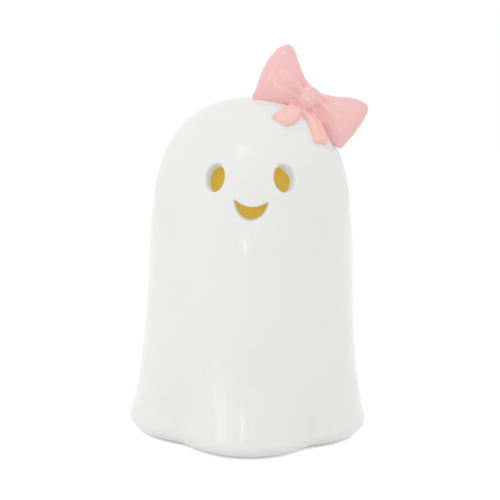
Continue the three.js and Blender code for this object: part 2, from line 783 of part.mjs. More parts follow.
function lampBoard() {
  const through = ([x, y], radius, facets) =>
    post(x, y, radius, boardBottom - overrun, boardTop + overrun, facets);
  return carved(
    post(0, 0, boardRadius, boardBottom, boardTop, domeFacets),
    ...stakePlaces.map((place) => through(place, stakePinRadius + fitGap, 8)),
    ...legPlaces.map((place) => through(place, lampLeg / 2 + fitGap, 6)),
  );
}

// Round-topped lamp with a flange and two legs.
function lamp([x, y]) {
  const shoulder = boardTop + lampHeight - lampRadius;
  const crown = stations(3, (t) => [
    lampRadius * Math.cos((t * Math.PI) / 2),
    shoulder + lampRadius * Math.sin((t * Math.PI) / 2),
  ]);
  crown[crown.length - 1][0] = 0;
  const bulb = turned(
    [
      [0, boardTop],
      [lampFlangeRadius, boardTop],
      [lampFlangeRadius, boardTop + lampFlangeHeight],
      [lampRadius, boardTop + lampFlangeHeight],
      ...crown,
    ],
    12,
  );
  const half = lampLeg / 2;
  const legs = [-1, 1].map((side) => {
    const middle = (side * lampLegSpacing) / 2;
    return block(middle - half, middle + half, -half, half, boardBottom - lampLegReach, boardTop + bite);
  });
  return joined(bulb, ...legs).translate([x, y, 0]);
}

function boardResistor() {
  const [halfLength, halfWidth] = [resistorLength / 2, resistorWidth / 2];
  return block(-halfLength, halfLength, -halfWidth, halfWidth, boardBottom - resistorHeight, boardBottom);
}

// A cell lying along X. Every second one points the other way.
function cell(number) {
  const end = number % 2 === 0 ? 1 : -1;
  const tip = endWall - contactThickness - contactBump;
  const shoulder = tip - cellNubLength;
  const flat = tip - cellLength;
  const profile = [
    [0, flat],
    [cellRadius - cellBevel, flat],
    [cellRadius, flat + cellBevel],
    [cellRadius, shoulder - cellBevel],
    [cellRadius - cellBevel, shoulder],
    [cellNubRadius, shoulder],
    [cellNubRadius, tip],
    [0, tip],
  ];
  const upright = geometryOf(turned(profile, 18));
  upright.rotateY((end * Math.PI) / 2).translate(0, cellY(number), cellAxisHeight);
  return solidOf(upright);
}

// The line of a contact spring: curls that climb from a wide one at the end wall to a narrow one.
function springPlace(t) {
  const turn = t * springTurns * 2 * Math.PI;
  const radius = springBaseRadius + (springTipRadius - springBaseRadius) * t;
  const reach = (springLength - seatGap - springWireRadius) * t;
  const along = endWall - contactThickness - reach;
  return new THREE.Vector3(along, radius * Math.cos(turn), radius * Math.sin(turn));
}

// One unbroken wire along that line, at either end of the compartment.
function springOf(end, y) {
  const rings = stations(springTurns * 8, (t) => {
    const here = springPlace(t);
    const ahead = springPlace(t + 1e-3).sub(springPlace(t - 1e-3)).normalize();
    const outwards = here.clone().setX(0).normalize();
    const across = ahead.clone().cross(outwards).normalize();
    const out = across.clone().cross(ahead);
    return around(5, (turn) => {
      const p = here.clone().addScaledVector(out, springWireRadius * Math.cos(turn));
      p.addScaledVector(across, springWireRadius * Math.sin(turn));
      return new THREE.Vector3(end * p.x, y + p.y, cellAxisHeight + p.z);
    });
  });
  return skinned(rings);
}

// Least gap of the wire to itself, over all points at least half a turn apart.
function springGap() {
  const line = stations(springTurns * 24, springPlace);
  const gaps = line.flatMap((p, i) => line.slice(i + 12).map((q) => p.distanceTo(q) - 2 * springWireRadius));
  return Math.min(...gaps);
}

function contactPlate(end, y, width) {
  const [near, far] = [end * (endWall - contactThickness), end * endWall];
  const half = contactHeight / 2;
  return block(near, far, y - width / 2, y + width / 2, cellAxisHeight - half, cellAxisHeight + half);
}

function pressedBump(end, y) {
  const tip = endWall - contactThickness - contactBump;
  const root = endWall - contactThickness / 2;
  const bump = new THREE.CylinderGeometry(contactBumpTipRadius, contactBumpRadius, root - tip, 16);
  bump.rotateZ((end * Math.PI) / 2).translate((end * (root + tip)) / 2, y, cellAxisHeight);
  return solidOf(bump);
}

function solderTab(end, y) {
  const [near, far] = [end * (endWall - contactThickness), end * endWall];
  return block(near, far, y - tabWidth / 2, y + tabWidth / 2, cellAxisHeight, compartmentRoof + tabReach);
}

const positiveContact = () =>
  joined(contactPlate(1, cellY(0), contactWidth), pressedBump(1, cellY(0)), solderTab(1, cellY(0)));
const negativeContact = () =>
  joined(contactPlate(1, cellY(1), contactWidth), springOf(1, cellY(1)), solderTab(1, cellY(1)));
const linkContact = () =>
  joined(
    contactPlate(-1, (cellY(0) + cellY(1)) / 2, cellPitch + contactWidth),
    springOf(-1, cellY(0)),
    pressedBump(-1, cellY(1)),
  );

// Grooved plate with two hooked tongues at one end and a screw's ear at the other.
function batteryDoor() {
  const root = -doorHalfLength + doorLap - fitGap / 4;
  const half = tongueWidth / 2;
  const tongues = tonguePlaces.flatMap((y) => [
    block(-doorHalfLength - tongueReach, root, y - half, y + half, tongueBottom, tongueTop),
    block(-doorHalfLength, root, y - half, y + half, 0, tongueTop),
  ]);
  const middle = -compartmentSetForward;
  const grooves = counted(doorGrooveCount).map((number) => {
    const x = doorHalfLength - doorGrooveSpacing * (number + 2);
    const [near, far] = [middle - doorGrooveLength / 2, middle + doorGrooveLength / 2];
    return block(x - doorGrooveWidth / 2, x + doorGrooveWidth / 2, near, far, -overrun, doorGrooveDepth);
  });
  return carved(
    joined(doorPlate(0, 0, doorThickness), ...tongues),
    post(doorScrewX, middle, screwHeadRadius + fitGap, -overrun, screwHeadHeight),
    post(doorScrewX, middle, screwRadius + fitGap, -overrun, doorThickness + overrun),
    ...grooves,
  );
}

// Metal can of the slide switch, open towards the slot, with three pins on top.
function switchBody() {
  const base = flangeThickness;
  const top = base + switchTall;
  const cavityTop = base + fitGap + carriageHeight + fitGap;
  const [cavityLength, cavityWidth] = [switchLength - 2 * switchCanWall, switchWidth - 2 * switchCanWall];
  const pins = [-1, 0, 1].map((place) =>
    atSwitch(place * pinSpacing, pinWidth, pinThickness, top - bite, top + pinReach),
  );
  return carved(
    joined(atSwitch(0, switchLength, switchWidth, base, top), ...pins),
    atSwitch(0, cavityLength, cavityWidth, base - overrun, cavityTop),
  );
}

// Carriage in the can, stem through the slot and grooved knob in the well, at the off end of the travel.
function switchSlider() {
  const x = -switchTravel / 2;
  const carriageWidth = switchWidth - 2 * switchCanWall - 2 * fitGap;
  const carriageBottom = flangeThickness + fitGap;
  const carriageTop = carriageBottom + carriageHeight;
  const grooves = counted(knobGrooveCount).map((number) => {
    const aside = (number - (knobGrooveCount - 1) / 2) * knobGrooveSpacing;
    const [bottom, top] = [-knobReach - overrun, -knobReach + knobGrooveDepth];
    return atSwitch(x + aside, knobGrooveWidth, knobWidth + overrun, bottom, top);
  });
  return carved(
    joined(
      atSwitch(x, carriageLength, carriageWidth, carriageBottom, carriageTop),
      atSwitch(x, stemSide, stemSide, 0, carriageTop),
      atSwitch(x, knobLength, knobWidth, -knobReach, switchWellDepth - fitGap),
    ),
    ...grooves,
  );
}

// Insulated wire along a smooth line through the given points.
function wire(points) {
  const route = new THREE.CatmullRomCurve3(points.map(([x, y, z]) => new THREE.Vector3(x, y, z)));
  const section = new THREE.Shape().absarc(0, 0, wireRadius, 0, 2 * Math.PI, false);
  const along = { steps: 10, extrudePath: route, curveSegments: 4, bevelEnabled: false };
  return solidOf(new THREE.ExtrudeGeometry(section, along));
}

const tabTop = compartmentRoof + tabReach;
const pinTop = flangeThickness + switchTall + pinReach;
const besideTab = endWall - contactThickness - seatGap - wireRadius;
const underBoard = boardBottom - seatGap;
const redWire = () =>
  wire([
    [besideTab, cellY(0), tabTop - wireRadius],
    [besideTab - 4, cellY(0) - 1, tabTop - 0.4],
    [boardRadius + 1, cellY(0) + 1, tabTop - 0.2],
    [boardRadius - 5, cellY(0) + 3, tabTop - 1],
    [boardRadius - 6.2, cellY(0) + 3.4, underBoard - wireRise],
    [boardRadius - 6.2, cellY(0) + 3.4, underBoard],
  ]);
const blackWire = () =>
  wire([
    [besideTab, cellY(1), tabTop - wireRadius],
    [besideTab - 3.5, cellY(1) + 3.5, tabTop - 0.6],
    [14, switchSetBack - 5, tabTop - 2],
    [5, switchSetBack - 1.6, pinTop + 3],
    [pinSpacing, switchSetBack, pinTop + seatGap + wireRise],
    [pinSpacing, switchSetBack, pinTop + seatGap],
  ]);
const switchWire = () =>
  wire([
    [0, switchSetBack, pinTop + seatGap],
    [0, switchSetBack, pinTop + seatGap + wireRise],
    [-1.5, switchSetBack - 1.6, pinTop + 3.2],
    [-4.5, switchSetBack - 5, tabTop - 1],
    [-5.4, 7, tabTop - 1],
    [-5.2, 5.4, underBoard - wireRise],
    [-5.2, 5.4, underBoard],
  ]);

// Finishes
const finish = (color, roughness, metalness = 0) =>
  new THREE.MeshStandardMaterial({ color, roughness, metalness });
const whiteGlaze = finish("#f2f2f0", 0.15);
const pinkGlaze = finish("#f3b9b3", 0.2);
const amberFilm = finish("#c9a440", 0.5);
const padFoam = finish("#dcdcd8", 0.85);
const whitePlastic = finish("#e6e6e2", 0.5);
const frosted = finish("#f4efe2", 0.6);
const softRing = finish("#cfd2d2", 0.7);
const greenBoard = finish("#2f6b45", 0.45);
const clearLamp = finish("#f3e3b0", 0.15);
const steel = finish("#b9bcc0", 0.3, 0.9);
const blackPlastic = finish("#24252a", 0.5);
const cellJacket = finish("#4a6a8a", 0.35, 0.2);
const redInsulation = finish("#b3261e", 0.5);
const blackInsulation = finish("#1c1c1e", 0.5);

function piece(name, solid, material) {
  const mesh = new THREE.Mesh(geometryOf(solid), material);
  mesh.name = name;
  return mesh;
}

const ghost = new THREE.Group();
ghost.add(
  piece("ghost_shell", ghostShell(), whiteGlaze),
  piece("bow", bow(), pinkGlaze),
  piece("face_film", faceFilm(), amberFilm),
);
counted(lobeCount).forEach((number) => ghost.add(piece(`foot_pad_${number + 1}`, footPad(number), padFoam)));

const doorScrewShank = doorScrewLength - screwHeadHeight;
const doorScrew = screw(doorScrewX, -compartmentSetForward, screwHeadHeight, doorScrewShank, false);
const lightUnit = new THREE.Group();
lightUnit.add(
  piece("base_housing", baseHousing(), whitePlastic),
  piece("grip_ring", gripRing(), softRing),
  piece("top_cap", topCap(), whitePlastic),
  piece("diffuser_dome", diffuserDome(), frosted),
  piece("lamp_board", lampBoard(), greenBoard),
  piece("board_resistor", boardResistor(), blackPlastic),
  piece("positive_contact", positiveContact(), steel),
  piece("negative_contact", negativeContact(), steel),
  piece("link_contact", linkContact(), steel),
  piece("battery_door", batteryDoor(), whitePlastic),
  piece("door_screw", doorScrew, steel),
  piece("switch_body", switchBody(), steel),
  piece("switch_slider", switchSlider(), blackPlastic),
  piece("red_wire", redWire(), redInsulation),
  piece("black_wire", blackWire(), blackInsulation),
  piece("switch_wire", switchWire(), blackInsulation),
);
cellNumbers.forEach((number) => lightUnit.add(piece(`cell_${number + 1}`, cell(number), cellJacket)));
lampPlaces.forEach((place, number) => lightUnit.add(piece(`lamp_${number + 1}`, lamp(place), clearLamp)));
bossPlaces.forEach(([x, y], number) =>
  lightUnit.add(piece(`cap_screw_${number + 1}`, screw(x, y, capTop, capScrewLength, true), steel)),
);

console.log(`least gap of a contact spring's wire to itself: ${springGap().toFixed(2)} mm`);

// The footprint's middle is over the origin: the front drape reaches further than the fold behind.
const hem = new THREE.Box3().setFromObject(ghost.children[0]);
ghost.position.set(0, -(hem.min.y + hem.max.y) / 2, padThickness);
lightUnit.position.set(0, ghost.position.y, unitClearance);

const lightUpGhost = new THREE.Group();
lightUpGhost.name = "light_up_ghost";
lightUpGhost.add(ghost, lightUnit);

export default lightUpGhost;
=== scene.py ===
import math

import bpy
import numpy as np
from bpy.props import FloatProperty, FloatVectorProperty, IntProperty, PointerProperty
from mathutils import Matrix, Vector


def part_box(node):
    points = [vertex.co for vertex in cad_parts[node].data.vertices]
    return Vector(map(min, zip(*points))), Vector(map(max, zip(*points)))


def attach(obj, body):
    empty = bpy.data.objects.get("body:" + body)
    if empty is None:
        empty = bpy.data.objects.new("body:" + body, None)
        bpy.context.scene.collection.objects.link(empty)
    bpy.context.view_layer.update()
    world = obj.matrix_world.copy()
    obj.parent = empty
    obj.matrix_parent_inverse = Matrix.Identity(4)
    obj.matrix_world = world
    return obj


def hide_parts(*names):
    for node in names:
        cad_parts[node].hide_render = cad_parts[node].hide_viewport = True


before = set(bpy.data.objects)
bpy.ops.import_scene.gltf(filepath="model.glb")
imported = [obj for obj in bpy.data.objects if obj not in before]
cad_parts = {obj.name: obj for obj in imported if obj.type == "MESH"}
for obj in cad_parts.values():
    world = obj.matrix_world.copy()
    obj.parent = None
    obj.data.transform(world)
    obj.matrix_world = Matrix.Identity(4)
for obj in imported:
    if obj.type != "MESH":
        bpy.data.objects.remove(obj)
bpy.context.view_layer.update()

bl_info = {
    "name": "Light-up ghost ornament",
    "version": (1, 0, 0),
    "blender": (4, 5, 0),
    "location": "3D View > Sidebar > Ornament",
    "description": "Builds a glazed ghost with a bow, its amber face film and its light unit",
    "category": "Add Mesh",
}

MM = 0.001
FULL_TURN = 2 * math.pi


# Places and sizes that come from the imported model.
def middle_of(node):
    """Middle of a node's box."""
    low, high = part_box(node)
    return (low + high) / 2


def round_radius(node):
    """Radius of a round, upright node, from the wider side of its box."""
    low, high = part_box(node)
    return max(high.x - low.x, high.y - low.y) / 2


# The upright axis of body and light unit, the height of the hem's underside, the middle of the light unit's
# underside, and the middles of the two cells.
AXIS = middle_of("diffuser_dome")
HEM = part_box("ghost_shell")[0].z
UNIT = np.array([AXIS.x, AXIS.y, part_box("base_housing")[0].z])
CELL = middle_of("cell_1"), middle_of("cell_2")


def above_unit(height):
    """A height of the frame, measured from the light unit's underside."""
    return height - UNIT[2]


def length(name, description, default):
    """A length in metres that the panel shows."""
    return FloatProperty(name=name, description=description, default=default, unit="LENGTH", precision=5)


def turn(name, description, degrees):
    """An angle, given in degrees and kept in radians."""
    return FloatProperty(name=name, description=description, default=math.radians(degrees), subtype="ANGLE")


def share(name, description, default):
    """A plain number: a share, an exponent or a level."""
    return FloatProperty(name=name, description=description, default=default, precision=4)


def count(name, description, default):
    """A whole number of at least three."""
    return IntProperty(name=name, description=description, default=default, min=3)


def colour(name, description, default):
    """A colour in linear red, green and blue."""
    return FloatVectorProperty(
        name=name, description=description, default=default, size=3, subtype="COLOR", min=0, max=1
    )


class BodySizes(bpy.types.PropertyGroup):
    """Sizes of the hollow ceramic body."""

    height: length("Height", "Crown of the head above the underside of the hem", 171 * MM)
    radius: length("Radius", "Side of the body before taper and flare", 54.5 * MM)
    taper: share("Taper", "Radius lost for each unit of height", 0.01)
    flare: length("Hem flare", "Radius gained at the hem", 7.3 * MM)
    flare_fade: length("Flare fade", "Height in which the flare falls to a third", 32 * MM)
    shoulder: share("Shoulder", "Exponent: the larger, the later the sides turn in", 6.7)
    crown: share("Crown", "Exponent over the crown: 2 is an ellipse", 2.15)
    roll_height: length("Roll height", "Height of the rounded edge under the hem", 8.4 * MM)
    roll_depth: length("Roll depth", "How far the rounded edge tucks in", 13.3 * MM)
    roll_ease: share("Roll ease", "Share of that depth left out at the two sides", 0.38)
    drapes: count("Drapes", "Drapes round the hem", 5)
    drape_depth: share("Drape depth", "Share of the radius that a drape stands out", 0.058)
    drape_fade: length("Drape fade", "Height in which the drapes die away", 34 * MM)
    fold_softness: share("Fold softness", "0 is a sharp fold between two drapes", 0.14)
    wall: length("Wall", "Thickness of the ceramic", 5 * MM)
    floor: length("Floor", "Thickness of the floor round the hole", 5.2 * MM)
    hole: length("Hole", "Radius of the hole for the light unit", 36 * MM)
    recess: length("Recess", "Radius of the recess round the hole", 41.5 * MM)
    recess_depth: length("Recess depth", "Depth of the recess above the hem", 4.3 * MM)
    unevenness: length("Unevenness", "How far the cast surface strays from its formula", 0.16 * MM)
    columns: count("Columns", "Points round the body", 260)
    rows: count("Rows", "Points from crown to hem", 210)


class FaceSizes(bpy.types.PropertyGroup):
    """Sizes of the openings of the face."""

    eye_width: length("Eye width", "Half width of an eye", 4.8 * MM)
    eye_height: length("Eye height", "Half height of an eye", 6.85 * MM)
    eye_turn: turn("Eye turn", "Angle from the middle to an eye", 20)
    eyes_aside: turn("Eyes aside", "Angle that both eyes sit off the middle", -0.5)
    eye_place: length("Eye place", "Height of the eyes above the hem", 133.2 * MM)
    eye_tilt: turn("Eye tilt", "Upward angle of the cut", 17.5)
    right_eye_extra: length("Right eye extra", "How much wider the eye under the bow was cut", 0.5 * MM)
    right_eye_rise: length("Right eye rise", "How much higher the eye under the bow was cut", 0.45 * MM)
    right_eye_aim: turn("Right eye aim", "Sideways slant of that eye's cut", 9)
    mouth_width: length("Mouth width", "Half width of the mouth", 8.2 * MM)
    mouth_sag: length("Mouth sag", "Middle of the mouth's upper edge below its corners", 3 * MM)
    mouth_depth: length("Mouth depth", "Middle of the mouth's lower edge below its corners", 9.6 * MM)
    mouth_place: length("Mouth place", "Height of the mouth's corners above the hem", 123.3 * MM)
    mouth_aside: turn("Mouth aside", "Angle that the mouth sits off the middle", 0.7)
    mouth_lean: turn("Mouth lean", "Angle that the mouth's line falls on the bow's side", 2.6)
    mouth_tilt: turn("Mouth tilt", "Upward angle of the cut", 3)
    cut_taper: length("Cut taper", "How much smaller an opening is at its inner end", 0.4 * MM)
    rim: length("Rim", "Radius of the glazed edge of each opening", 0.9 * MM)


class BowSizes(bpy.types.PropertyGroup):
    """Sizes of the ceramic bow."""

    azimuth: turn("Place", "Angle round from the face", 72.8)
    drop: length("Drop", "Seat of the bow below the crown", 6.4 * MM)
    stand_off: length("Stand-off", "Middle of the knot off the head", 6.9 * MM)
    facing: turn("Facing", "Angle that the front turns away from the face", 8)
    lean: turn("Lean", "Angle that the front looks up", 18)
    slope: turn("Slope", "Angle that the long axis falls outwards", 31.6)
    thickness: length("Thickness", "Half thickness of a loop", 5.6 * MM)
    waist_thickness: length("Waist thickness", "Half thickness of a loop at the knot", 3.4 * MM)
    crease: length("Crease", "Depth of the pinched creases by the knot", 2.2 * MM)
    knot_width: length("Knot width", "Half width of the knot", 5.5 * MM)
    knot_height: length("Knot height", "Half height of the knot", 6.2 * MM)
    knot_depth: length("Knot depth", "Half depth of the knot", 4.7 * MM)
    tail_thickness: length("Tail thickness", "Height of a tail off the head", 2.9 * MM)
    smoothing: count("Smoothing", "Passes that soften the fused pieces, as glaze does", 12)
    voxel: length("Voxel", "Size of the grid that fuses the bow's pieces", 0.42 * MM)


class UnitSizes(bpy.types.PropertyGroup):
    """Sizes of the battery light unit. Heights are above its own underside."""

    flange_radius: length("Flange radius", "Flange under the ceramic floor", round_radius("base_housing"))
    flange: length("Flange", "Thickness of the flange", 3 * MM)
    tub_radius: length("Tub radius", "Outside of the tub", round_radius("top_cap"))
    tub_wall: length("Tub wall", "Thickness of the tub's wall", 1.6 * MM)
    tub_height: length("Tub height", "Top of the tub", above_unit(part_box("base_housing")[1].z))
    edge: length("Moulded edge", "Radius of the moulded edges", 0.35 * MM)
    cap_top: length(
        "Cap top", "Top of the cap, where the dome stands", above_unit(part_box("diffuser_dome")[0].z)
    )
    dome_radius: length("Dome radius", "Outside of the diffuser dome", round_radius("diffuser_dome"))
    dome_top: length("Dome top", "Crown of the diffuser dome", above_unit(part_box("diffuser_dome")[1].z))
    dome_skirt: length("Dome skirt", "Straight part under the dome's curve", 5 * MM)
    dome_wall: length("Dome wall", "Thickness of the dome", 1.2 * MM)
    ring_radius: length("Ring radius", "Outside of the grip ring's ribs", round_radius("grip_ring"))
    ring_height: length("Ring height", "Height of the grip ring", 6 * MM)
    board_top: length("Board top", "Upper face of the board", above_unit(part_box("lamp_board")[1].z))
    board_radius: length("Board radius", "Radius of the board", round_radius("lamp_board"))
    board: length("Board", "Thickness of the board", 1.2 * MM)
    clearance: length("Clearance", "Gap between moulded pieces", 0.3 * MM)
    compartment_length: length("Compartment length", "Inside, along the cells", 50.5 * MM)
    compartment_width: length("Compartment width", "Inside, across the cells", 22.8 * MM)
    compartment_wall: length("Compartment wall", "Thickness of its walls and roof", 1.4 * MM)
    door: length("Door", "Thickness of the battery door", 1.8 * MM)
    door_lap: length("Door lap", "Door past the compartment's opening", 1.35 * MM)
    switch_back: length("Switch", "Switch behind the unit's middle", 17.8 * MM)
    wire: length("Wire", "Radius of a wire with its insulation", 0.7 * MM)


class Finishes(bpy.types.PropertyGroup):
    """Colours of the finishes."""

    white_glaze: colour("White glaze", "Clear glaze over white clay", (0.86, 0.857, 0.85))
    # Painted shade: this darker white colours the cut walls of the face's openings. The little of it near
    # their rims stands for glaze that thins there.
    painted_shade_white: colour("Deep white", "White glaze in hollows and on cut edges", (0.76, 0.745, 0.70))
    bisque: colour("Bisque", "Unglazed clay under the hem", (0.74, 0.70, 0.63))
    pink_glaze: colour("Pink glaze", "Glaze of the bow", (0.93, 0.56, 0.54))
    # Deeper pink in the bow's hollows and creases: partly glaze that pools there, partly painted shade.
    pooled_and_shaded_pink: colour("Deep pink", "Pink glaze where it pools", (0.91, 0.50, 0.48))
    thin_pink: colour("Thin pink", "Pink glaze on the thin tails", (0.94, 0.585, 0.525))
    amber: colour("Amber", "Film behind the face", (0.63, 0.40, 0.028))
    # Painted light: the film emits this pale colour to all rays but the camera's, and it lights the cut
    # walls.
    glow_on_walls: colour("Spill", "Light that passes beside the film on to the cut walls", (0.80, 0.80, 0.78))
    pad: colour("Pad", "Foam of the pads", (0.72, 0.72, 0.69))
    plastic: colour("Plastic", "Moulded housing", (0.80, 0.80, 0.76))
    silicone: colour("Silicone", "Grip ring", (0.60, 0.62, 0.62))
    frosted: colour("Frosted", "Diffuser dome", (0.90, 0.86, 0.76))
    board: colour("Board", "Solder mask", (0.05, 0.20, 0.09))
    resin: colour("Resin", "Lamp bodies", (0.90, 0.78, 0.42))
    black: colour("Black", "Slider, resistor and black wires", (0.02, 0.02, 0.025))
    steel: colour("Steel", "Nickel-plated steel", (0.60, 0.61, 0.63))
    jacket: colour("Jacket", "Sleeve of a cell", (0.10, 0.20, 0.33))
    red: colour("Red", "Insulation of the red wire", (0.50, 0.03, 0.02))


class StageSizes(bpy.types.PropertyGroup):
    """Levels of the lamps and the place of the camera."""

    sky: share("Sky", "Level of the white surroundings", 0.934)
    key: FloatProperty(name="Key", description="Power of the large lamp", default=2.4, unit="POWER")
    # Painted glow: the strength with which the amber film itself emits, standing for lamps behind it.
    glow: share("Glow", "Level of the light behind the amber film", 0.72)
    distance: length("Distance", "Camera in front of the middle", 477.42 * MM)
    aside: length("Aside", "Camera to the side of the middle", 7.68 * MM)
    rise: length("Rise", "Camera above the table", 170.01 * MM)
    lens: FloatProperty(name="Lens", description="Focal length", default=66.86, unit="CAMERA")
    roll: turn("Roll", "Camera's turn about its own line of sight", 1.116)


# Meshes from grids of points.
def placed(name, data):
    """A new object with this data, at the origin."""
    made = bpy.data.objects.new(name, data)
    bpy.context.collection.objects.link(made)
    return made


def mesh_object(name, points, faces):
    """A new object with a mesh of these points and faces."""
    mesh = bpy.data.meshes.new(name)
    mesh.from_pydata(points.tolist(), [], faces)
    mesh.update()
    return placed(name, mesh)


def around(columns):
    """Evenly spaced angles of one full turn."""
    return np.arange(columns) * FULL_TURN / columns


def stacked(*parts):
    """Coordinates, each a number or an array, put together as points."""
    return np.stack(np.broadcast_arrays(*parts), axis=-1)


def directions(vectors):
    """The vectors, each divided by its length."""
    return vectors / np.linalg.norm(vectors, axis=-1, keepdims=True)


def signed_power(values, power):
    """The size of each value raised to the power, its sign kept: turns a circle into a squarish oval."""
    return np.sign(values) * np.abs(values) ** power


def smooth(part):
    """Slow start and slow end between 0 and 1: three times the square less twice the cube."""
    return part * part * (3 - 2 * part)


def cubic(a, b, c, d, t):
    """Place between b and c on a cubic whose slopes there are half the ways from a to c and from b to d."""
    return b + 0.5 * t * (c - a + t * (2 * a - 5 * b + 4 * c - d + t * (3 * b - a - 3 * c + d)))


def enclosed(points, triangles):
    """Signed volume: a sixth of the sum of each triangle's triple product."""
    a, b, c = (points[triangles[:, k]] for k in range(3))
    return np.einsum("ij,ij->", a, np.cross(b, c)) / 6


def skin(name, rings, wrap=False):
    """Quads between neighbouring rings of points. Each ring closes on itself. The first and last are closed
    by a fan from their middle, or meet each other where wrap is set. Faces are turned to point outwards."""
    rows, columns = rings.shape[:2]
    ids = np.arange(rows * columns).reshape(rows, columns)
    ahead = np.roll(ids, -1, axis=1)
    low, low_ahead = (ids, ahead) if wrap else (ids[:-1], ahead[:-1])
    high, high_ahead = np.roll(ids, -1, axis=0)[: len(low)], np.roll(ahead, -1, axis=0)[: len(low)]
    quads = stacked(low, low_ahead, high_ahead, high).reshape(-1, 4)
    points = rings.reshape(-1, 3)
    fans = np.zeros((0, 3), int)
    if not wrap:
        hubs = np.array([rings[0].mean(axis=0), rings[-1].mean(axis=0)])
        first, last = stacked(len(points), ahead[0], ids[0]), stacked(len(points) + 1, ids[-1], ahead[-1])
        fans = np.concatenate([first, last])
        points = np.concatenate([points, hubs])
    halves = np.concatenate([quads[:, [0, 1, 2]], quads[:, [0, 2, 3]], fans])
    if enclosed(points, halves) < 0:
        quads, fans = quads[:, ::-1], fans[:, ::-1]
    return mesh_object(name, points, quads.tolist() + fans.tolist())


def rounded(corners, radius, steps=4, closed=True):
    """A profile whose corners are replaced by arcs: each point is the corner's quadratic curve between the
    places that lie one radius before and after it. An open profile keeps its two ends."""
    corners = np.array(corners, float)
    points = []
    for before, here, after in zip(np.roll(corners, 1, axis=0), corners, np.roll(corners, -1, axis=0)):
        start, end = before - here, after - here
        reach = min(radius, 0.45 * np.linalg.norm(start), 0.45 * np.linalg.norm(end))
        start, end = here + start / np.linalg.norm(start) * reach, here + end / np.linalg.norm(end) * reach
        t = np.linspace(0, 1, steps + 1)[:, None]
        points.append((1 - t) ** 2 * start + 2 * t * (1 - t) * here + t**2 * end)
    if not closed:
        points[0], points[-1] = corners[:1], corners[-1:]
    return np.concatenate(points)


def oval(angle, across, up, centre=(0, 0)):
    """Points of an oval: its middle plus one radius times the cosine and the other times the sine."""
    return stacked(centre[0] + across * np.cos(angle), centre[1] + up * np.sin(angle))


def circle(radius, points, centre=(0, 0)):
    """Outline of a circle."""
    return oval(around(points), radius, radius, centre)


def rounded_rectangle(x, y, corner):
    """Outline of a rectangle between two places along x and along y, with round corners."""
    return rounded([(x[0], y[0]), (x[1], y[0]), (x[1], y[1]), (x[0], y[1])], corner, 6)


def plate(outline, bottom, top, edge=0.0, steps=4):
    """Rings of an outline carried upwards, its lower and upper edge rounded by a quarter circle each: there
    the outline shrinks by the radius less the sine's share of it."""
    if not edge:
        heights, growths = np.array([bottom, top]), np.zeros(2)
    else:
        turn_in = np.linspace(0, math.pi / 2, steps + 1)
        low = bottom + edge * (1 - np.cos(turn_in))
        shrink = -edge * (1 - np.sin(turn_in))
        heights = np.concatenate([low, top + bottom - low[::-1]])
        growths = np.concatenate([shrink, shrink[::-1]])
    return np.array([
        stacked(*grown(outline, growth).T, height) for growth, height in zip(growths, heights)
    ])


def tube(points, radius, columns=14, rows=90):
    """A round wire along a smooth curve through the points: cubics whose slopes follow the neighbours, and
    circles square to them."""
    points = np.array(points, float)
    ends = np.concatenate([[2 * points[0] - points[1]], points, [2 * points[-1] - points[-2]]])
    t = np.linspace(0, len(points) - 1 - 1e-9, rows)
    k, f = t.astype(int), (t % 1)[:, None]
    line = cubic(ends[k], ends[k + 1], ends[k + 2], ends[k + 3], f)
    return coil_rings(line, radius, columns)


def coil_rings(line, radius, columns=14):
    """Circles round a line of points, square to it: the radius times the cosine and sine of two directions.
    The first direction is carried on from the circle before, less its part along the line."""
    ahead = directions(np.gradient(line, axis=0))
    start = np.cross(ahead[0], [0.31, 0.87, 0.38])
    sides = np.empty_like(line)
    for number, along in enumerate(ahead):
        start = directions(start - (start @ along) * along)
        sides[number] = start
    others = np.cross(ahead, sides)
    angle = around(columns)[:, None]
    return line[:, None] + radius * (np.cos(angle) * sides[:, None] + np.sin(angle) * others[:, None])


def applied(made):
    """Replaces the object's mesh by what its modifiers make of it."""
    graph = bpy.context.evaluated_depsgraph_get()
    mesh = bpy.data.meshes.new_from_object(made.evaluated_get(graph))
    old = made.data
    made.modifiers.clear()
    made.data = mesh
    mesh.name = made.name
    bpy.data.meshes.remove(old)
    return made


def cut(made, tools, operation="DIFFERENCE"):
    """Takes the tools away from the object, or joins them to it, one after another."""
    for tool in tools:
        step = made.modifiers.new("cut", "BOOLEAN")
        step.operation = operation
        step.solver = "MANIFOLD"
        step.object = tool
        applied(made)
        bpy.data.meshes.remove(tool.data)
    return made


def shaded(made, crease=35):
    """Smooth shading, with edges kept sharp where the faces meet at more than the crease angle."""
    made.data.shade_smooth()
    made.data.set_sharp_from_angle(angle=math.radians(crease))
    return made


def finished(made, body, slot, material, *nodes):
    """Gives the piece its material and its body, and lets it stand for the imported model's nodes."""
    made.data.materials.clear()
    made.data.materials.append(material)
    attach(made, body)
    if nodes:
        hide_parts(*nodes)
    return made


def read(items, key, width, kind=float):
    """One property of all the items, one row an item."""
    values = np.empty(len(items) * width, kind)
    items.foreach_get(key, values)
    return values.reshape(-1, width)


def points_of(made):
    """The mesh's points."""
    return read(made.data.vertices, "co", 3)


def normals_of(made):
    """The normals at the mesh's points."""
    return read(made.data.vertex_normals, "vector", 3)


def edges_of(made):
    """The pairs of points that the mesh's edges join."""
    return read(made.data.edges, "vertices", 2, int)


def merged(name, parts):
    """One mesh of several, whose own meshes are dropped."""
    points, faces, first = [], [], 0
    for part in parts:
        points.append(points_of(part))
        faces += [[first + v for v in face.vertices] for face in part.data.polygons]
        first += len(part.data.vertices)
        bpy.data.meshes.remove(part.data)
    return mesh_object(name, np.concatenate(points), faces)


def store(made, name, values):
    """Keeps one number a point, for the material to read."""
    attribute = made.data.attributes.new(name, "FLOAT", "POINT")
    attribute.data.foreach_set("value", np.asarray(values, np.float32))


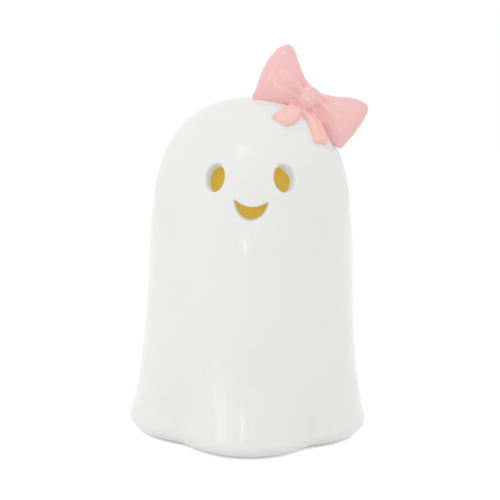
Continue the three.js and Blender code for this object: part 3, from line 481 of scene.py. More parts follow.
def smoothed(points, edges, passes):
    """Each pass moves every point half way to the mean of its neighbours."""
    neighbours = np.bincount(edges.ravel(), minlength=len(points))[:, None]
    for _ in range(passes):
        total = np.zeros_like(points)
        np.add.at(total, edges[:, 0], points[edges[:, 1]])
        np.add.at(total, edges[:, 1], points[edges[:, 0]])
        points = (points + total / np.maximum(neighbours, 1)) / 2
    return points


def hollows(made, passes, reach):
    """How far each point lies in a hollow, from -1 on a ridge to 1: the way to its smoothed place, measured
    along its normal."""
    points = points_of(made)
    way = smoothed(points, edges_of(made), passes) - points
    return np.clip(np.einsum("ij,ij->i", way, normals_of(made)) / reach, -1, 1)


def nearest(points, marks):
    """Distance from each point to the nearest of some marks, worked out block by block to save memory."""
    blocks = np.array_split(points, len(points) // 4000 + 1)
    squares = [((block[:, None] - marks[None]) ** 2).sum(axis=-1).min(axis=1) for block in blocks]
    return np.sqrt(np.concatenate(squares))


# The body's surface. Azimuth 0 is the face, and it grows towards +X.
def round_axis(azimuth, radius, height):
    """Points at a radius from the axis and a height above the hem."""
    return stacked(AXIS.x + radius * np.sin(azimuth), AXIS.y - radius * np.cos(azimuth), HEM + height)


def away(azimuth, tilt):
    """Direction away from the axis at an azimuth, tilted upwards."""
    return [math.sin(azimuth) * math.cos(tilt), -math.cos(azimuth) * math.cos(tilt), math.sin(tilt)]


def side_radius(body, height, inset=0.0):
    """Tapered and flared side, times a superellipse over the crown, less the tuck under the hem."""
    side = body.radius - inset - body.taper * height + body.flare * np.exp(-height / body.flare_fade)
    part = np.maximum(height, 0) / (body.height - inset)
    crown = np.maximum(1 - part**body.shoulder, 0) ** (1 / body.crown)
    return side * crown - hem_tuck(body, height)


def hem_tuck(body, height):
    """How far the edge under the hem turns in: a quarter of an ellipse."""
    below = np.clip(1 - height / body.roll_height, 0, 1)
    return body.roll_depth * (1 - np.sqrt(1 - below**2))


def drape_wave(body, azimuth):
    """Size of a cosine with one swing for each drape, its valleys rounded, from -1 in a fold to 1 on a
    drape."""
    soft = body.fold_softness
    swing = np.hypot(np.cos(azimuth * body.drapes / 2), soft) - soft
    return 2 * swing / (math.hypot(1, soft) - soft) - 1


def stray(body, azimuth, height):
    """Slow swells of a cast surface: four sines of the azimuth and the height together, which die away at the
    crown."""
    up = height / body.height
    swell = (
        np.sin(2 * azimuth + 7.1 * up + 0.6)
        + 0.7 * np.sin(3 * azimuth - 11.3 * up + 2.1)
        + 0.5 * np.sin(5 * azimuth + 17.9 * up + 4.4)
        + 0.35 * np.sin(8 * azimuth - 23.7 * up + 1.2)
    )
    return body.unevenness * swell / 2 * np.clip(1.05 - up, 0, 0.3) / 0.3


def body_point(body, azimuth, height, inset=0.0):
    """Point of the surface: the side's radius, times one plus the drape's share, plus the swells, turned
    about the axis. The drapes fade upwards by a curve like half a bell. At the sides the hem turns in less,
    by a sine to the fourth."""
    azimuth, height = np.broadcast_arrays(azimuth, height)
    fade = np.exp(-((np.maximum(height, 0) / body.drape_fade) ** 1.5))
    drape = body.drape_depth * fade * drape_wave(body, azimuth)
    radius = side_radius(body, height, inset) * (1 + drape) + stray(body, azimuth, height)
    radius = radius + body.roll_ease * hem_tuck(body, height) * np.sin(azimuth) ** 4
    return round_axis(azimuth, radius, height)


def body_normal(body, azimuth, height):
    """Outward normal: the cross product of the slopes round the body and up it."""
    step = 1e-4
    up = body_point(body, azimuth, height + step) - body_point(body, azimuth, height - step)
    across = body_point(body, azimuth + step, height) - body_point(body, azimuth - step, height)
    return directions(np.cross(across, up))


def row_heights(body, rows, inset, bottom):
    """Heights from the crown down to the bottom, evenly spaced along the profile's length."""
    top = body.height - inset
    fine = top - (top - bottom) * np.linspace(2e-3, 1, 6000) ** 2
    radius = side_radius(body, fine, inset)
    travelled = np.concatenate([[0], np.cumsum(np.hypot(np.diff(radius), np.diff(fine)))])
    return np.interp(np.linspace(0, travelled[-1], rows), travelled, fine)


def body_rings(body, heights, inset=0.0):
    """The surface's points on a grid of heights by azimuths."""
    return body_point(body, around(body.columns)[None, :], heights[:, None], inset)


def plain_ring(body, radius, height):
    """A circle about the axis, with as many points as the surface has round it."""
    return round_axis(around(body.columns), radius, height)[None]


def eye_outline(face, extra, points=72):
    """Ellipse in the cut's own plane: half width times the cosine, half height times the sine."""
    return oval(around(points), face.eye_width + extra, face.eye_height)


def softened(outline, passes):
    """Each pass moves every point of a closed outline half way to the middle of its two neighbours."""
    for _ in range(passes):
        outline = (np.roll(outline, 1, axis=0) + 2 * outline + np.roll(outline, -1, axis=0)) / 4
    return outline


def mouth_outline(face):
    """Half an ellipse below the corners and a parabola between them on top, turned by the mouth's lean."""
    lower = math.pi * (1 + np.linspace(0, 1, 61)[:-1])
    across = np.linspace(1, -1, 41)[:-1]
    bottom = oval(lower, face.mouth_width, face.mouth_depth)
    top = stacked(face.mouth_width * across, -face.mouth_sag * (1 - across**2))
    lean = face.mouth_lean
    turned = np.array([[math.cos(lean), -math.sin(lean)], [math.sin(lean), math.cos(lean)]])
    return softened(np.concatenate([bottom, top]), 3) @ turned


def grown(outline, distance):
    """The outline moved outwards along its own normals."""
    along = directions(np.roll(outline, -1, axis=0) - np.roll(outline, 1, axis=0))
    return outline + distance * stacked(along[:, 1], -along[:, 0])


def flattened(outline, direction, part):
    """The outline with a straight edge: no point reaches further in the direction than a part of its reach
    there."""
    facing = np.array([math.cos(direction), math.sin(direction)])
    reach = outline @ facing
    return outline - np.maximum(reach - part * reach.max(), 0)[:, None] * facing


def cut_frame(body, azimuth, height, tilt, aim):
    """Seat of a cut on the surface, with its sideways, upward and outward directions."""
    seat = body_point(body, azimuth, height)
    turn_out = azimuth + aim
    side = np.array([math.cos(turn_out), math.sin(turn_out), 0])
    out = np.array(away(turn_out, tilt))
    return seat, side, np.cross(out, side), out


def on_surface(body, points, out):
    """Moves points along the cut's direction until they lie on the surface: each step closes the gap between
    a point's radius and the surface's."""
    for _ in range(12):
        x, y, height = points[:, 0] - AXIS.x, points[:, 1] - AXIS.y, points[:, 2] - HEM
        azimuth = np.arctan2(x, -y)
        surface = body_point(body, azimuth, height)
        gap = np.hypot(surface[:, 0] - AXIS.x, surface[:, 1] - AXIS.y) - np.hypot(x, y)
        facing = out[0] * np.sin(azimuth) - out[1] * np.cos(azimuth)
        points = points + (gap / facing)[:, None] * out
    return points, body_normal(body, azimuth, height)


def face_cutter(body, rim, outline, inner, azimuth, height, tilt, aim=0.0):
    """The tool for one opening: through the wall from the outline to the smaller inner one, and near the
    surface a quarter circle that rolls outwards until it leaves the ceramic."""
    seat, side, up, out = cut_frame(body, azimuth, height, tilt, aim)

    def ring(flat, growth, depth):
        """The flat outline, grown, laid on the surface, and sunk below it."""
        flat = grown(flat, growth)
        surface, normal = on_surface(body, seat + flat[:, :1] * side + flat[:, 1:] * up, out)
        return surface - depth * normal

    through = ring(inner, 0, rim) - (body.wall - rim) * out
    rings = [through - 1.2 * body.wall * out, through, 0.5 * (through + ring(outline, 0, rim))]
    for angle in np.radians(np.linspace(0, 80, 9)):
        rings.append(ring(outline, rim * (1 - math.cos(angle)), rim * (1 - math.sin(angle))))
    rings.append(ring(outline, 2.2 * rim, -0.25 * rim))
    rings.append(ring(outline, 2.4 * rim, -4 * rim))
    return skin("face_cutter", np.array(rings)), rings[-3]


def face_cutters(body, face):
    """The tools for both eyes and the mouth, and the points of the three rims. The eye under the bow has a
    flat on its inner outline, and the mouth's inner corners are rounder."""
    left, right, mouth = eye_outline(face, 0), eye_outline(face, face.right_eye_extra), mouth_outline(face)
    inner_right = flattened(grown(right, -face.cut_taper), math.radians(42), 0.84)
    inner_mouth = softened(grown(mouth, -face.cut_taper), 14)
    place, tilt = face.eye_place, face.eye_tilt
    openings = [
        (left, grown(left, -face.cut_taper), face.eyes_aside - face.eye_turn, place, tilt),
        (right, softened(inner_right, 3), face.eyes_aside + face.eye_turn, place + face.right_eye_rise, tilt,
         face.right_eye_aim),
        (mouth, inner_mouth, face.mouth_aside, face.mouth_place, face.mouth_tilt),
    ]
    cutters = [face_cutter(body, face.rim, *opening) for opening in openings]
    return [tool for tool, _ in cutters], np.concatenate([rim for _, rim in cutters])


# Nodes and materials.
def fill(tree, node, inputs):
    """Sets a node's inputs. Each is a value, or a socket to link to."""
    for key, value in inputs.items():
        if isinstance(value, bpy.types.NodeSocket):
            tree.links.new(value, node.inputs[key])
        else:
            node.inputs[key].default_value = value


def add_node(tree, kind, inputs=None, **settings):
    """A node with its settings and inputs."""
    made = tree.nodes.new(kind)
    for key, value in settings.items():
        setattr(made, key, value)
    fill(tree, made, inputs or {})
    return made


def group(name, inputs, outputs):
    """An empty node group with its sockets, and its input and output nodes."""
    tree = bpy.data.node_groups.new(name, "ShaderNodeTree")
    for label, default in inputs.items():
        kind = "NodeSocketColor" if isinstance(default, tuple) else "NodeSocketFloat"
        tree.interface.new_socket(label, in_out="INPUT", socket_type=kind).default_value = default
    for label, kind in outputs.items():
        tree.interface.new_socket(label, in_out="OUTPUT", socket_type=f"NodeSocket{kind}")
    return tree, tree.nodes.new("NodeGroupInput").outputs, tree.nodes.new("NodeGroupOutput").inputs


def place_of(tree):
    """The place on the object, which a finished piece's pattern follows."""
    return add_node(tree, "ShaderNodeTexCoord").outputs["Object"]


def noise_of(tree, size, detail=3.0, roughness=0.5):
    """Soft noise between 0 and 1."""
    values = {"Vector": place_of(tree), "Scale": size, "Detail": detail, "Roughness": roughness}
    return add_node(tree, "ShaderNodeTexNoise", values).outputs["Fac"]


def value_of(tree, name):
    """A number that a piece keeps at its points."""
    return add_node(tree, "ShaderNodeAttribute", attribute_name=name).outputs["Fac"]


def math_of(tree, operation, a, b, clamp=False):
    """Two values, or a value and a number, worked out together."""
    return add_node(tree, "ShaderNodeMath", {0: a, 1: b}, operation=operation, use_clamp=clamp).outputs[0]


def mix_of(tree, factor, a, b):
    """The second colour laid over the first by the factor."""
    return add_node(tree, "ShaderNodeMix", {0: factor, 6: a, 7: b}, data_type="RGBA").outputs[2]


def between(tree, value, low, high, to_low=0.0, to_high=1.0):
    """A smooth step from one value to another while the given value goes from low to high."""
    values = {0: value, 1: low, 2: high, 3: to_low, 4: to_high}
    return add_node(tree, "ShaderNodeMapRange", values, interpolation_type="SMOOTHSTEP").outputs[0]


def tone_group():
    """Cloudy change of tone: a soft noise blends a second colour in."""
    tree, given, out = group(
        "Cloudy tone", {"Color": (1, 1, 1, 1), "Shade": (0.9, 0.9, 0.9, 1), "Scale": 40.0, "Amount": 0.3},
        {"Color": "Color"},
    )
    cloud = between(tree, noise_of(tree, given["Scale"], 4.0), 0.35, 0.7)
    part = math_of(tree, "MULTIPLY", cloud, given["Amount"])
    tree.links.new(mix_of(tree, part, given["Color"], given["Shade"]), out["Color"])
    return tree


def grain_group():
    """Fine grain: two noises of different scale give a height, and the broader one varies the roughness."""
    tree, given, out = group(
        "Fine grain", {"Scale": 900.0, "Roughness": 0.4, "Spread": 0.1},
        {"Roughness": "Float", "Height": "Float"},
    )
    fine = noise_of(tree, given["Scale"], 2.0, 0.6)
    broad = noise_of(tree, math_of(tree, "MULTIPLY", given["Scale"], 0.23))
    height = math_of(tree, "ADD", math_of(tree, "MULTIPLY", fine, 0.6), math_of(tree, "MULTIPLY", broad, 0.4))
    offset = math_of(tree, "MULTIPLY", math_of(tree, "SUBTRACT", broad, 0.5), given["Spread"])
    tree.links.new(math_of(tree, "ADD", given["Roughness"], offset, clamp=True), out["Roughness"])
    tree.links.new(height, out["Height"])
    return tree


def speckle_group():
    """Rare small specks: cells of a Voronoi pattern whose middle is near and whose own colour is bright."""
    tree, given, out = group("Specks", {"Scale": 220.0, "Share": 0.06, "Size": 0.12}, {"Mask": "Float"})
    cells = add_node(tree, "ShaderNodeTexVoronoi", {"Vector": place_of(tree), "Scale": given["Scale"]})
    near = math_of(tree, "LESS_THAN", cells.outputs["Distance"], given["Size"])
    chance = add_node(tree, "ShaderNodeSeparateColor", {0: cells.outputs["Color"]}).outputs[0]
    rare = math_of(tree, "LESS_THAN", chance, given["Share"])
    tree.links.new(math_of(tree, "MULTIPLY", near, rare), out["Mask"])
    return tree


def use_group(tree, name, make, inputs):
    """The outputs of the group of this name, which is made on its first use."""
    shared = bpy.data.node_groups.get(name) or make()
    return add_node(tree, "ShaderNodeGroup", inputs, node_tree=shared).outputs


def cloudy(tree, rgb, shade, scale, amount):
    """The colour with clouds of its own shade, which is a share of it."""
    inputs = {"Color": opaque(rgb), "Shade": opaque(rgb, shade), "Scale": scale, "Amount": amount}
    return use_group(tree, "Cloudy tone", tone_group, inputs)["Color"]


def grain_of(tree, scale, roughness, spread):
    """Roughness and height of a fine grain."""
    inputs = {"Scale": scale, "Roughness": roughness, "Spread": spread}
    return use_group(tree, "Fine grain", grain_group, inputs)


def opaque(rgb, level=1.0):
    """The colour times the level, with nothing of it see-through."""
    return (rgb[0] * level, rgb[1] * level, rgb[2] * level, 1.0)


def bare_tree(owner):
    """The emptied node tree of a material or a world."""
    owner.use_nodes = True
    owner.node_tree.nodes.clear()
    return owner.node_tree


def blank_material(name):
    """A material with only its output and a Principled BSDF."""
    material = bpy.data.materials.new(name)
    tree = bare_tree(material)
    shader = tree.nodes.new("ShaderNodeBsdfPrincipled")
    output = tree.nodes.new("ShaderNodeOutputMaterial")
    tree.links.new(shader.outputs[0], output.inputs["Surface"])
    return material, tree, shader


def bumped(tree, shader, height, strength, distance):
    """Lets the height raise the surface by up to the distance."""
    values = {"Height": height, "Strength": strength, "Distance": distance}
    fill(tree, shader, {"Normal": add_node(tree, "ShaderNodeBump", values).outputs[0]})


def grained(name, rgb, roughness, scale=900.0, shade=0.9, metallic=0.0, strength=0.15, spread=0.12):
    """Plain finish of one colour: cloudy tone, fine grain and its bump."""
    material, tree, shader = blank_material(name)
    tone = cloudy(tree, rgb, shade, scale / 12, 0.7)
    grain = grain_of(tree, scale, roughness, spread)
    fill(tree, shader, {"Base Color": tone, "Roughness": grain["Roughness"], "Metallic": metallic})
    bumped(tree, shader, grain["Height"], strength, 0.05 * MM)
    return material


def glaze(name, rgb, hollow_shade, ripple, mirror, thin=None, clay=None):
    """Glossy glaze: cloudy tone, a deeper colour in hollows that is mostly painted shade, rare specks, a fine
    grain, a ripple of the given height, and how much it mirrors. Where they are given, thin is the colour of
    thin places and clay that of the bare foot."""
    material, tree, shader = blank_material(name)
    tone = cloudy(tree, rgb, 0.975, 34.0, 0.8)
    hollow = value_of(tree, "hollow")
    if thin:
        tone = mix_of(tree, value_of(tree, "thin"), tone, opaque(thin))
    # Painted shade: the deeper colour goes where the hollow value is high, on cut walls and in creases. On
    # the bow it also stands for glaze that pools.
    tone = mix_of(tree, between(tree, hollow, 0.0, 1.0), tone, opaque(hollow_shade))
    specks = use_group(tree, "Specks", speckle_group, {"Scale": 240.0, "Share": 0.03, "Size": 0.1})["Mask"]
    tone = mix_of(tree, math_of(tree, "MULTIPLY", specks, 0.25), tone, opaque(rgb, 0.72))
    grain = grain_of(tree, 130.0, 0.13, 0.08)
    roughness = grain["Roughness"]
    if clay:
        height = add_node(tree, "ShaderNodeSeparateXYZ", {0: place_of(tree)}).outputs["Z"]
        edge = math_of(tree, "MULTIPLY", noise_of(tree, 300.0), 0.5 * MM)
        bare = between(tree, math_of(tree, "SUBTRACT", height, edge), HEM + 0.35 * MM, HEM)
        tone = mix_of(tree, bare, tone, opaque(clay))
        rough = math_of(tree, "MULTIPLY", bare, 0.65)
        roughness = math_of(tree, "ADD", roughness, rough, clamp=True)
    fill(tree, shader, {
        "Base Color": tone, "Roughness": roughness, "IOR": 1.46, "Specular IOR Level": mirror,
    })
    waves = math_of(tree, "MULTIPLY", noise_of(tree, 190.0, 1.0), ripple)
    fine = math_of(tree, "MULTIPLY", grain["Height"], 0.02)
    bumped(tree, shader, math_of(tree, "ADD", waves, fine), 1.0, 1 * MM)
    return material


def glowing_film(name, rgb, glow_on_walls, level):
    """Amber film with a painted glow: it emits light as if lit from behind, a flat glow over a darker satin
    surface. The camera sees the amber glow, and all other rays see the pale colour, a painted light on the
    walls round it."""
    material, tree, shader = blank_material(name)
    tone = cloudy(tree, rgb, 0.93, 90.0, 0.6)
    grain = grain_of(tree, 1800.0, 0.5, 0.1)
    # Painted light: the camera sees the amber glow, and all other rays the pale one.
    seen = add_node(tree, "ShaderNodeLightPath").outputs["Is Camera Ray"]
    fill(tree, shader, {
        "Base Color": mix_of(tree, 0.75, tone, (0, 0, 0, 1)), "Roughness": grain["Roughness"],
        "Emission Color": mix_of(tree, seen, opaque(glow_on_walls), tone), "Emission Strength": level,
    })
    bumped(tree, shader, grain["Height"], 0.1, 0.03 * MM)
    return material


def shader_of(tree):
    """The material's own Principled BSDF."""
    return next(node for node in tree.nodes if node.type == "BSDF_PRINCIPLED")


def once(name, make):
    """The material of this name, made on its first use."""
    return bpy.data.materials.get(name) or make(name)


def moulded_plastic(tones):
    """Pale plastic of the housing, the cap and the door."""
    return once("unit_plastic", lambda name: grained(name, tones.plastic, 0.42, 2600.0, 0.94, strength=0.25))


def plated_steel(tones):
    """Nickel-plated steel of the screws, contacts, legs and can."""
    return once("plated_steel", lambda name: grained(name, tones.steel, 0.27, 1500.0, 0.85, 1.0, 0.08))


def black_plastic(tones):
    """Black plastic of the slider and the resistor."""
    return once("black_plastic", lambda name: grained(name, tones.black, 0.45, 2200.0, 1.5, strength=0.2))


def translucent(name, rgb, roughness, through, ior, lit):
    """Frosted or clear plastic: part of the light goes through, a fine grain scatters it, and the lit share
    stands for the lamps behind it."""
    material, tree, shader = blank_material(name)
    tone = cloudy(tree, rgb, 0.95, 120.0, 0.5)
    grain = grain_of(tree, 2400.0, roughness, 0.06)
    fill(tree, shader, {
        "Base Color": tone, "Roughness": grain["Roughness"], "Transmission Weight": through, "IOR": ior,
        "Emission Color": tone, "Emission Strength": lit,
    })
    bumped(tree, shader, grain["Height"], 0.1, 0.03 * MM)
    return material


def solder_mask(name, rgb):
    """Green varnish over glass fibre: the weave shows as two crossing ripples."""
    material = grained(name, rgb, 0.32, 1800.0, 0.8)
    tree = material.node_tree
    values = {"Vector": place_of(tree), "Scale": 420.0, "Distortion": 0.6}
    weave = [
        add_node(tree, "ShaderNodeTexWave", values, bands_direction=direction).outputs["Fac"]
        for direction in ("X", "Y")
    ]
    bumped(tree, shader_of(tree), math_of(tree, "MULTIPLY", *weave), 0.25, 0.03 * MM)
    return material


CELL_BAND = (0.62, 0.50, 0.30)


def cell_sleeve(name, sleeve, bare):
    """Shrunk sleeve with a paler band towards the nub, and bare metal at both ends."""
    material, tree, shader = blank_material(name)
    along, covered = value_of(tree, "from_flat"), value_of(tree, "sleeve")
    tone = cloudy(tree, sleeve, 0.85, 90.0, 0.5)
    tone = mix_of(tree, between(tree, along, 0.77, 0.775), tone, opaque(CELL_BAND))
    tone = mix_of(tree, covered, opaque(bare), tone)
    grain = grain_of(tree, 1600.0, 0.28, 0.1)
    metal = math_of(tree, "SUBTRACT", 1.0, math_of(tree, "MULTIPLY", covered, 0.55))
    fill(tree, shader, {"Base Color": tone, "Roughness": grain["Roughness"], "Metallic": metal})
    bumped(tree, shader, grain["Height"], 0.08, 0.03 * MM)
    return material


def closed_foam(name, rgb):
    """Foam whose cells show as small dents with sharp ridges between them."""
    material = grained(name, rgb, 0.85, 1200.0, 0.85)
    tree = material.node_tree
    cells = add_node(tree, "ShaderNodeTexVoronoi", {"Vector": place_of(tree), "Scale": 1900.0})
    bumped(tree, shader_of(tree), cells.outputs["Distance"], 0.6, 0.12 * MM)
    return material


# Sizes in millimetres that more than one piece uses: the play between pieces that slip together, round the
# cells and round the door, the radii of the round ones, how far the door's tongues reach and their half
# width, and half the switch's width.
PLAY, CELL_PLAY, DOOR_PLAY = 0.3, 0.6, 0.35
BOSS, SCREW_HOLE, EAR, STAKE, STAKE_PIN = 3, 1.4, 4, 1.8, 0.8
TONGUE_REACH, TONGUE, SWITCH = 2.4, 2.5, 2.7


# The pieces.
def cast_shell(body, face):
    """Outer rows from crown to hem, recess and hole underneath, and inner rows back to the crown."""
    outer = row_heights(body, body.rows, 0.0, 0.0)
    ledge = body.recess_depth + body.floor
    inner = row_heights(body, body.rows // 3, body.wall, ledge)
    soft = 0.4 * MM
    rings = [body_rings(body, outer)]
    steps = [
        (body.recess + 2 * soft, 0.0), (body.recess + soft, 0.0), (body.recess, soft),
        (body.recess, body.recess_depth), (body.hole + soft, body.recess_depth),
        (body.hole, body.recess_depth + soft), (body.hole, ledge - soft), (body.hole + soft, ledge),
    ]
    rings += [plain_ring(body, radius, height) for radius, height in steps]
    rings.append(body_rings(body, inner[::-1], body.wall))
    made = skin("ghost_body", np.concatenate(rings))
    tools, rims = face_cutters(body, face)
    cut(made, tools)
    # Painted shade: the glaze takes its darker white fully on the cut walls of the openings, deeper than half
    # a millimetre below the surface. Near the rims a little of it stands for glaze that thins there.
    near = nearest(points_of(made), rims[::3])
    depth = -off_head(body, points_of(made))[0]
    walls = smooth(np.clip((depth - 0.5 * MM) / (2 * MM), 0, 1))
    store(made, "hollow", 0.08 * np.exp(-near / (0.8 * MM)) + 0.9 * walls)
    return shaded(made, 40)


def bow_frame(body, bow):
    """The bow's own directions as rows, along it, across it and out of its front, and its middle."""
    height = body.height - bow.drop
    seat = body_point(body, bow.azimuth, height)
    middle = seat + body_normal(body, bow.azimuth, height) * bow.stand_off
    front = Vector(away(bow.facing, bow.lean))
    level = Vector((math.cos(bow.facing), math.sin(bow.facing), 0))
    along = Matrix.Rotation(-bow.slope, 3, front) @ level
    return np.array([along, front.cross(along), front]), middle


# Outlines of the two loops in the bow's plane, and the tip of each: millimetres along the bow and across it,
# from the knot's middle.
INNER_LOOP = [
    (-3, 5.8), (-7, 7.2), (-12, 11), (-16.4, 14.9), (-20.2, 17.9), (-23.7, 18.4), (-26.9, 14.4), (-28.2, 8.4),
    (-28.4, 2.3), (-27.7, -2.8), (-26.7, -7.4), (-25.8, -11.8), (-25.3, -15.6), (-19.8, -13.8),
    (-12.6, -11.2), (-7.6, -8), (-3, -5.2), (0, 0),
]
OUTER_LOOP = [
    (3.5, 5), (9.5, 7.4), (14, 10), (18.2, 11.9), (23, 13), (26.8, 12.2), (28.2, 9.2), (28.5, 3.5),
    (28, -3.8), (27.0, -8.9), (25.9, -14.8), (22.2, -13.4), (17.4, -11.6), (12, -9.6), (7, -7.4), (3, -5.5),
    (0, 0),
]
INNER_TIP, OUTER_TIP = (-25, -15.6), (25.9, -14.8)

# Pinched creases on the front of the loops: from a place to another in the bow's plane, and a half width, in
# millimetres.
CREASES = [
    ((-5.5, -1.9), (-23, -3.8), 1.5), ((-5, 2.6), (-18, 7.4), 1.3), ((-6, -4.6), (-16, -8.6), 1.0),
    ((5.4, -2.5), (21, -9.4), 1.6), ((6, 1.8), (18, 4.4), 1.2), ((7, -5.2), (19, -11.4), 1.0),
]


def smooth_outline(corners, points):
    """A closed curve through the corners, with a cubic on each stretch between two, then spread evenly along
    its length."""
    corners = np.array(corners, float) * MM
    t = np.linspace(0, 1, 24, endpoint=False)[:, None]
    neighbours = zip(*(np.roll(corners, -step, axis=0) for step in (-1, 0, 1, 2)))
    fine = np.concatenate([cubic(*four, t) for four in neighbours])
    fine = np.concatenate([fine, fine[:1]])
    travelled = np.concatenate([[0], np.cumsum(np.linalg.norm(np.diff(fine, axis=0), axis=1))])
    even = np.linspace(0, travelled[-1], points, endpoint=False)
    return stacked(*(np.interp(even, travelled, line) for line in fine.T))


def loop_rings(bow, corners, tip, rows=40, columns=220):
    """A loop like a pressed pillow: rings shrink from the outline to a spine along the loop's middle, and
    rise by a full oval curve to the thickness there, first in front and then behind. The thickness grows from
    the waist outwards, and falls by a bell curve round the tip, the lower corner. Each crease sinks the front
    by a bell curve across its line, less and less towards the line's end."""
    outline = smooth_outline(corners, columns)
    reach = np.abs(outline[:, 0]).max()
    along = np.clip(np.abs(outline[:, 0]), 2 * MM, 0.72 * reach) * np.sign(outline[:, 0].mean())
    spine = stacked(along, 0.06 * outline[:, 1])
    size = np.sin(np.linspace(0.02, 0.98, rows) * math.pi)
    facing = np.sign(np.linspace(1, -1, rows))
    flat = spine[None] + (outline - spine)[None] * size[:, None, None]
    rise = (1 - size**2.4) ** (1 / 1.9) * facing
    swell = smooth(np.clip(np.abs(flat[..., 0]) / (0.6 * reach), 0, 1))
    thick = bow.waist_thickness + (bow.thickness - bow.waist_thickness) * swell
    far = np.linalg.norm(flat - np.array(tip) * MM, axis=-1)
    thick = thick * (1 - 0.6 * np.exp(-((far / (6 * MM)) ** 2)))
    depth = thick * rise[:, None]
    for start, end, half in CREASES:
        start, end = np.array(start) * MM, np.array(end) * MM
        line = end - start
        part = np.clip(((flat - start) @ line) / (line @ line), 0, 1)
        off = np.linalg.norm(flat - (start + part[..., None] * line), axis=-1)
        sink = bow.crease * (1 - smooth(part)) * np.exp(-((off / (half * MM)) ** 2))
        depth = depth - np.where(depth > 0, sink, 0)
    return np.concatenate([flat, depth[..., None]], axis=-1)


def knot_rings(bow, rows=48, columns=72):
    """The knot: a squarish oval section whose girth follows a rounded rectangle along its height. It is
    shifted a little inwards and down from the middle of the bow."""
    shift, corner = 0.9 * MM, 0.55
    rise = -np.cos(np.linspace(0.03, 0.97, rows) * math.pi)
    girth = ((1 - np.abs(rise) ** 3) ** (1 / 3))[:, None]
    width = bow.knot_width * (0.9 + 0.1 * rise[:, None] ** 2)
    across = width * girth * signed_power(np.cos(around(columns)), corner) - shift
    ahead = bow.knot_depth * girth * signed_power(np.sin(around(columns)), corner)
    return stacked(across, bow.knot_height * rise[:, None] - shift, ahead)


# The tails: start and end as degrees from the face and millimetres below the crown, width in millimetres,
# share of it at the knot, how far one corner of the end is ahead, and the middle crease as a share.
TAILS = [
    {"start": (66, 4.4), "end": (21, 11.8), "width": 9.8, "root": 0.72, "slant": 1.0, "crease": 0.16},
    {"start": (66, 6.6), "end": (52, 22.2), "width": 10.6, "root": 0.85, "slant": 1.3, "crease": 0.16},
]


def tail_rings(body, bow, tail, rows=72, columns=64):
    """A tail: a flat squarish section, its upper side less a bell curve for the crease, carried down the head
    from the start to the end. Its width grows from the root, and near the end width and height follow a
    quarter circle. The slant slides one side ahead by the square of the way."""
    start, end = tail["start"], tail["end"]

    def place(t):
        """Azimuth and height on the head after a share of the way."""
        azimuth = np.radians(start[0] + (end[0] - start[0]) * t)
        return azimuth, body.height - (start[1] + (end[1] - start[1]) * t**1.25) * MM

    t = np.linspace(0, 1, rows)
    here, normal = body_point(body, *place(t)), body_normal(body, *place(t))
    forward = directions(body_point(body, *place(t + 0.01)) - here)
    across = directions(np.cross(forward, normal))
    width = tail["root"] + (1 - tail["root"]) * smooth(np.minimum(1.3 * t, 1))
    taper = np.sqrt(1 - 0.99 * (np.maximum(t - 0.86, 0) / 0.14) ** 2)
    angle = around(columns)
    aside = signed_power(np.cos(angle), 0.6)
    crease = np.where(np.sin(angle) > 0, 1 - tail["crease"] * np.exp(-((aside / 0.35) ** 2)), 1)
    rise = signed_power(np.sin(angle), 0.8) * crease
    half = tail["width"] / 2 * MM * width * (0.72 + 0.28 * taper)
    height = bow.tail_thickness * (0.45 + 0.55 * taper) * (0.6 + 0.4 * smooth(np.minimum(2.2 * t, 1)))
    slide = tail["slant"] * MM * t * t
    return (
        here[:, None]
        + across[:, None] * (aside * half[:, None])[..., None]
        + normal[:, None] * (rise * height[:, None])[..., None]
        + forward[:, None] * (aside * slide[:, None])[..., None]
    )


def off_head(body, points):
    """How far each point is off the head's surface, along the surface's own direction, and that direction."""
    azimuth = np.arctan2(points[:, 0] - AXIS.x, AXIS.y - points[:, 1])
    height = np.clip(points[:, 2] - HEM, 1 * MM, body.height - 0.2 * MM)
    outward = body_normal(body, azimuth, height)
    return np.einsum("ij,ij->i", points - body_point(body, azimuth, height), outward), outward


def seat_on_head(body, points, facing, depth, reach, free):
    """Points that hover within the reach and face the head come down to it, the nearer the more, and less
    by a bell curve round the free place, which overhangs. Then all points that lie deeper than the depth
    below the surface come up to that depth."""
    free_round = 5 * MM
    held = 1 - np.exp(-((np.linalg.norm(points - free, axis=-1) / free_round) ** 2))
    for _ in range(6):
        off, outward = off_head(body, points)
        back = smooth(np.clip(-np.einsum("ij,ij->i", facing, outward) / 0.5, 0, 1))
        near = smooth(np.clip((reach - off) / (0.6 * reach), 0, 1))
        fall = np.where(off > -depth / 2, (off + depth / 2) * back * near * held, 0)
        points = points - 0.5 * fall[:, None] * outward
    for _ in range(30):
        off, outward = off_head(body, points)
        lift = np.where(off < -depth, -depth - off, 0)
        if lift.max() < 1e-6:
            break
        points = points + 0.8 * lift[:, None] * outward
    return points


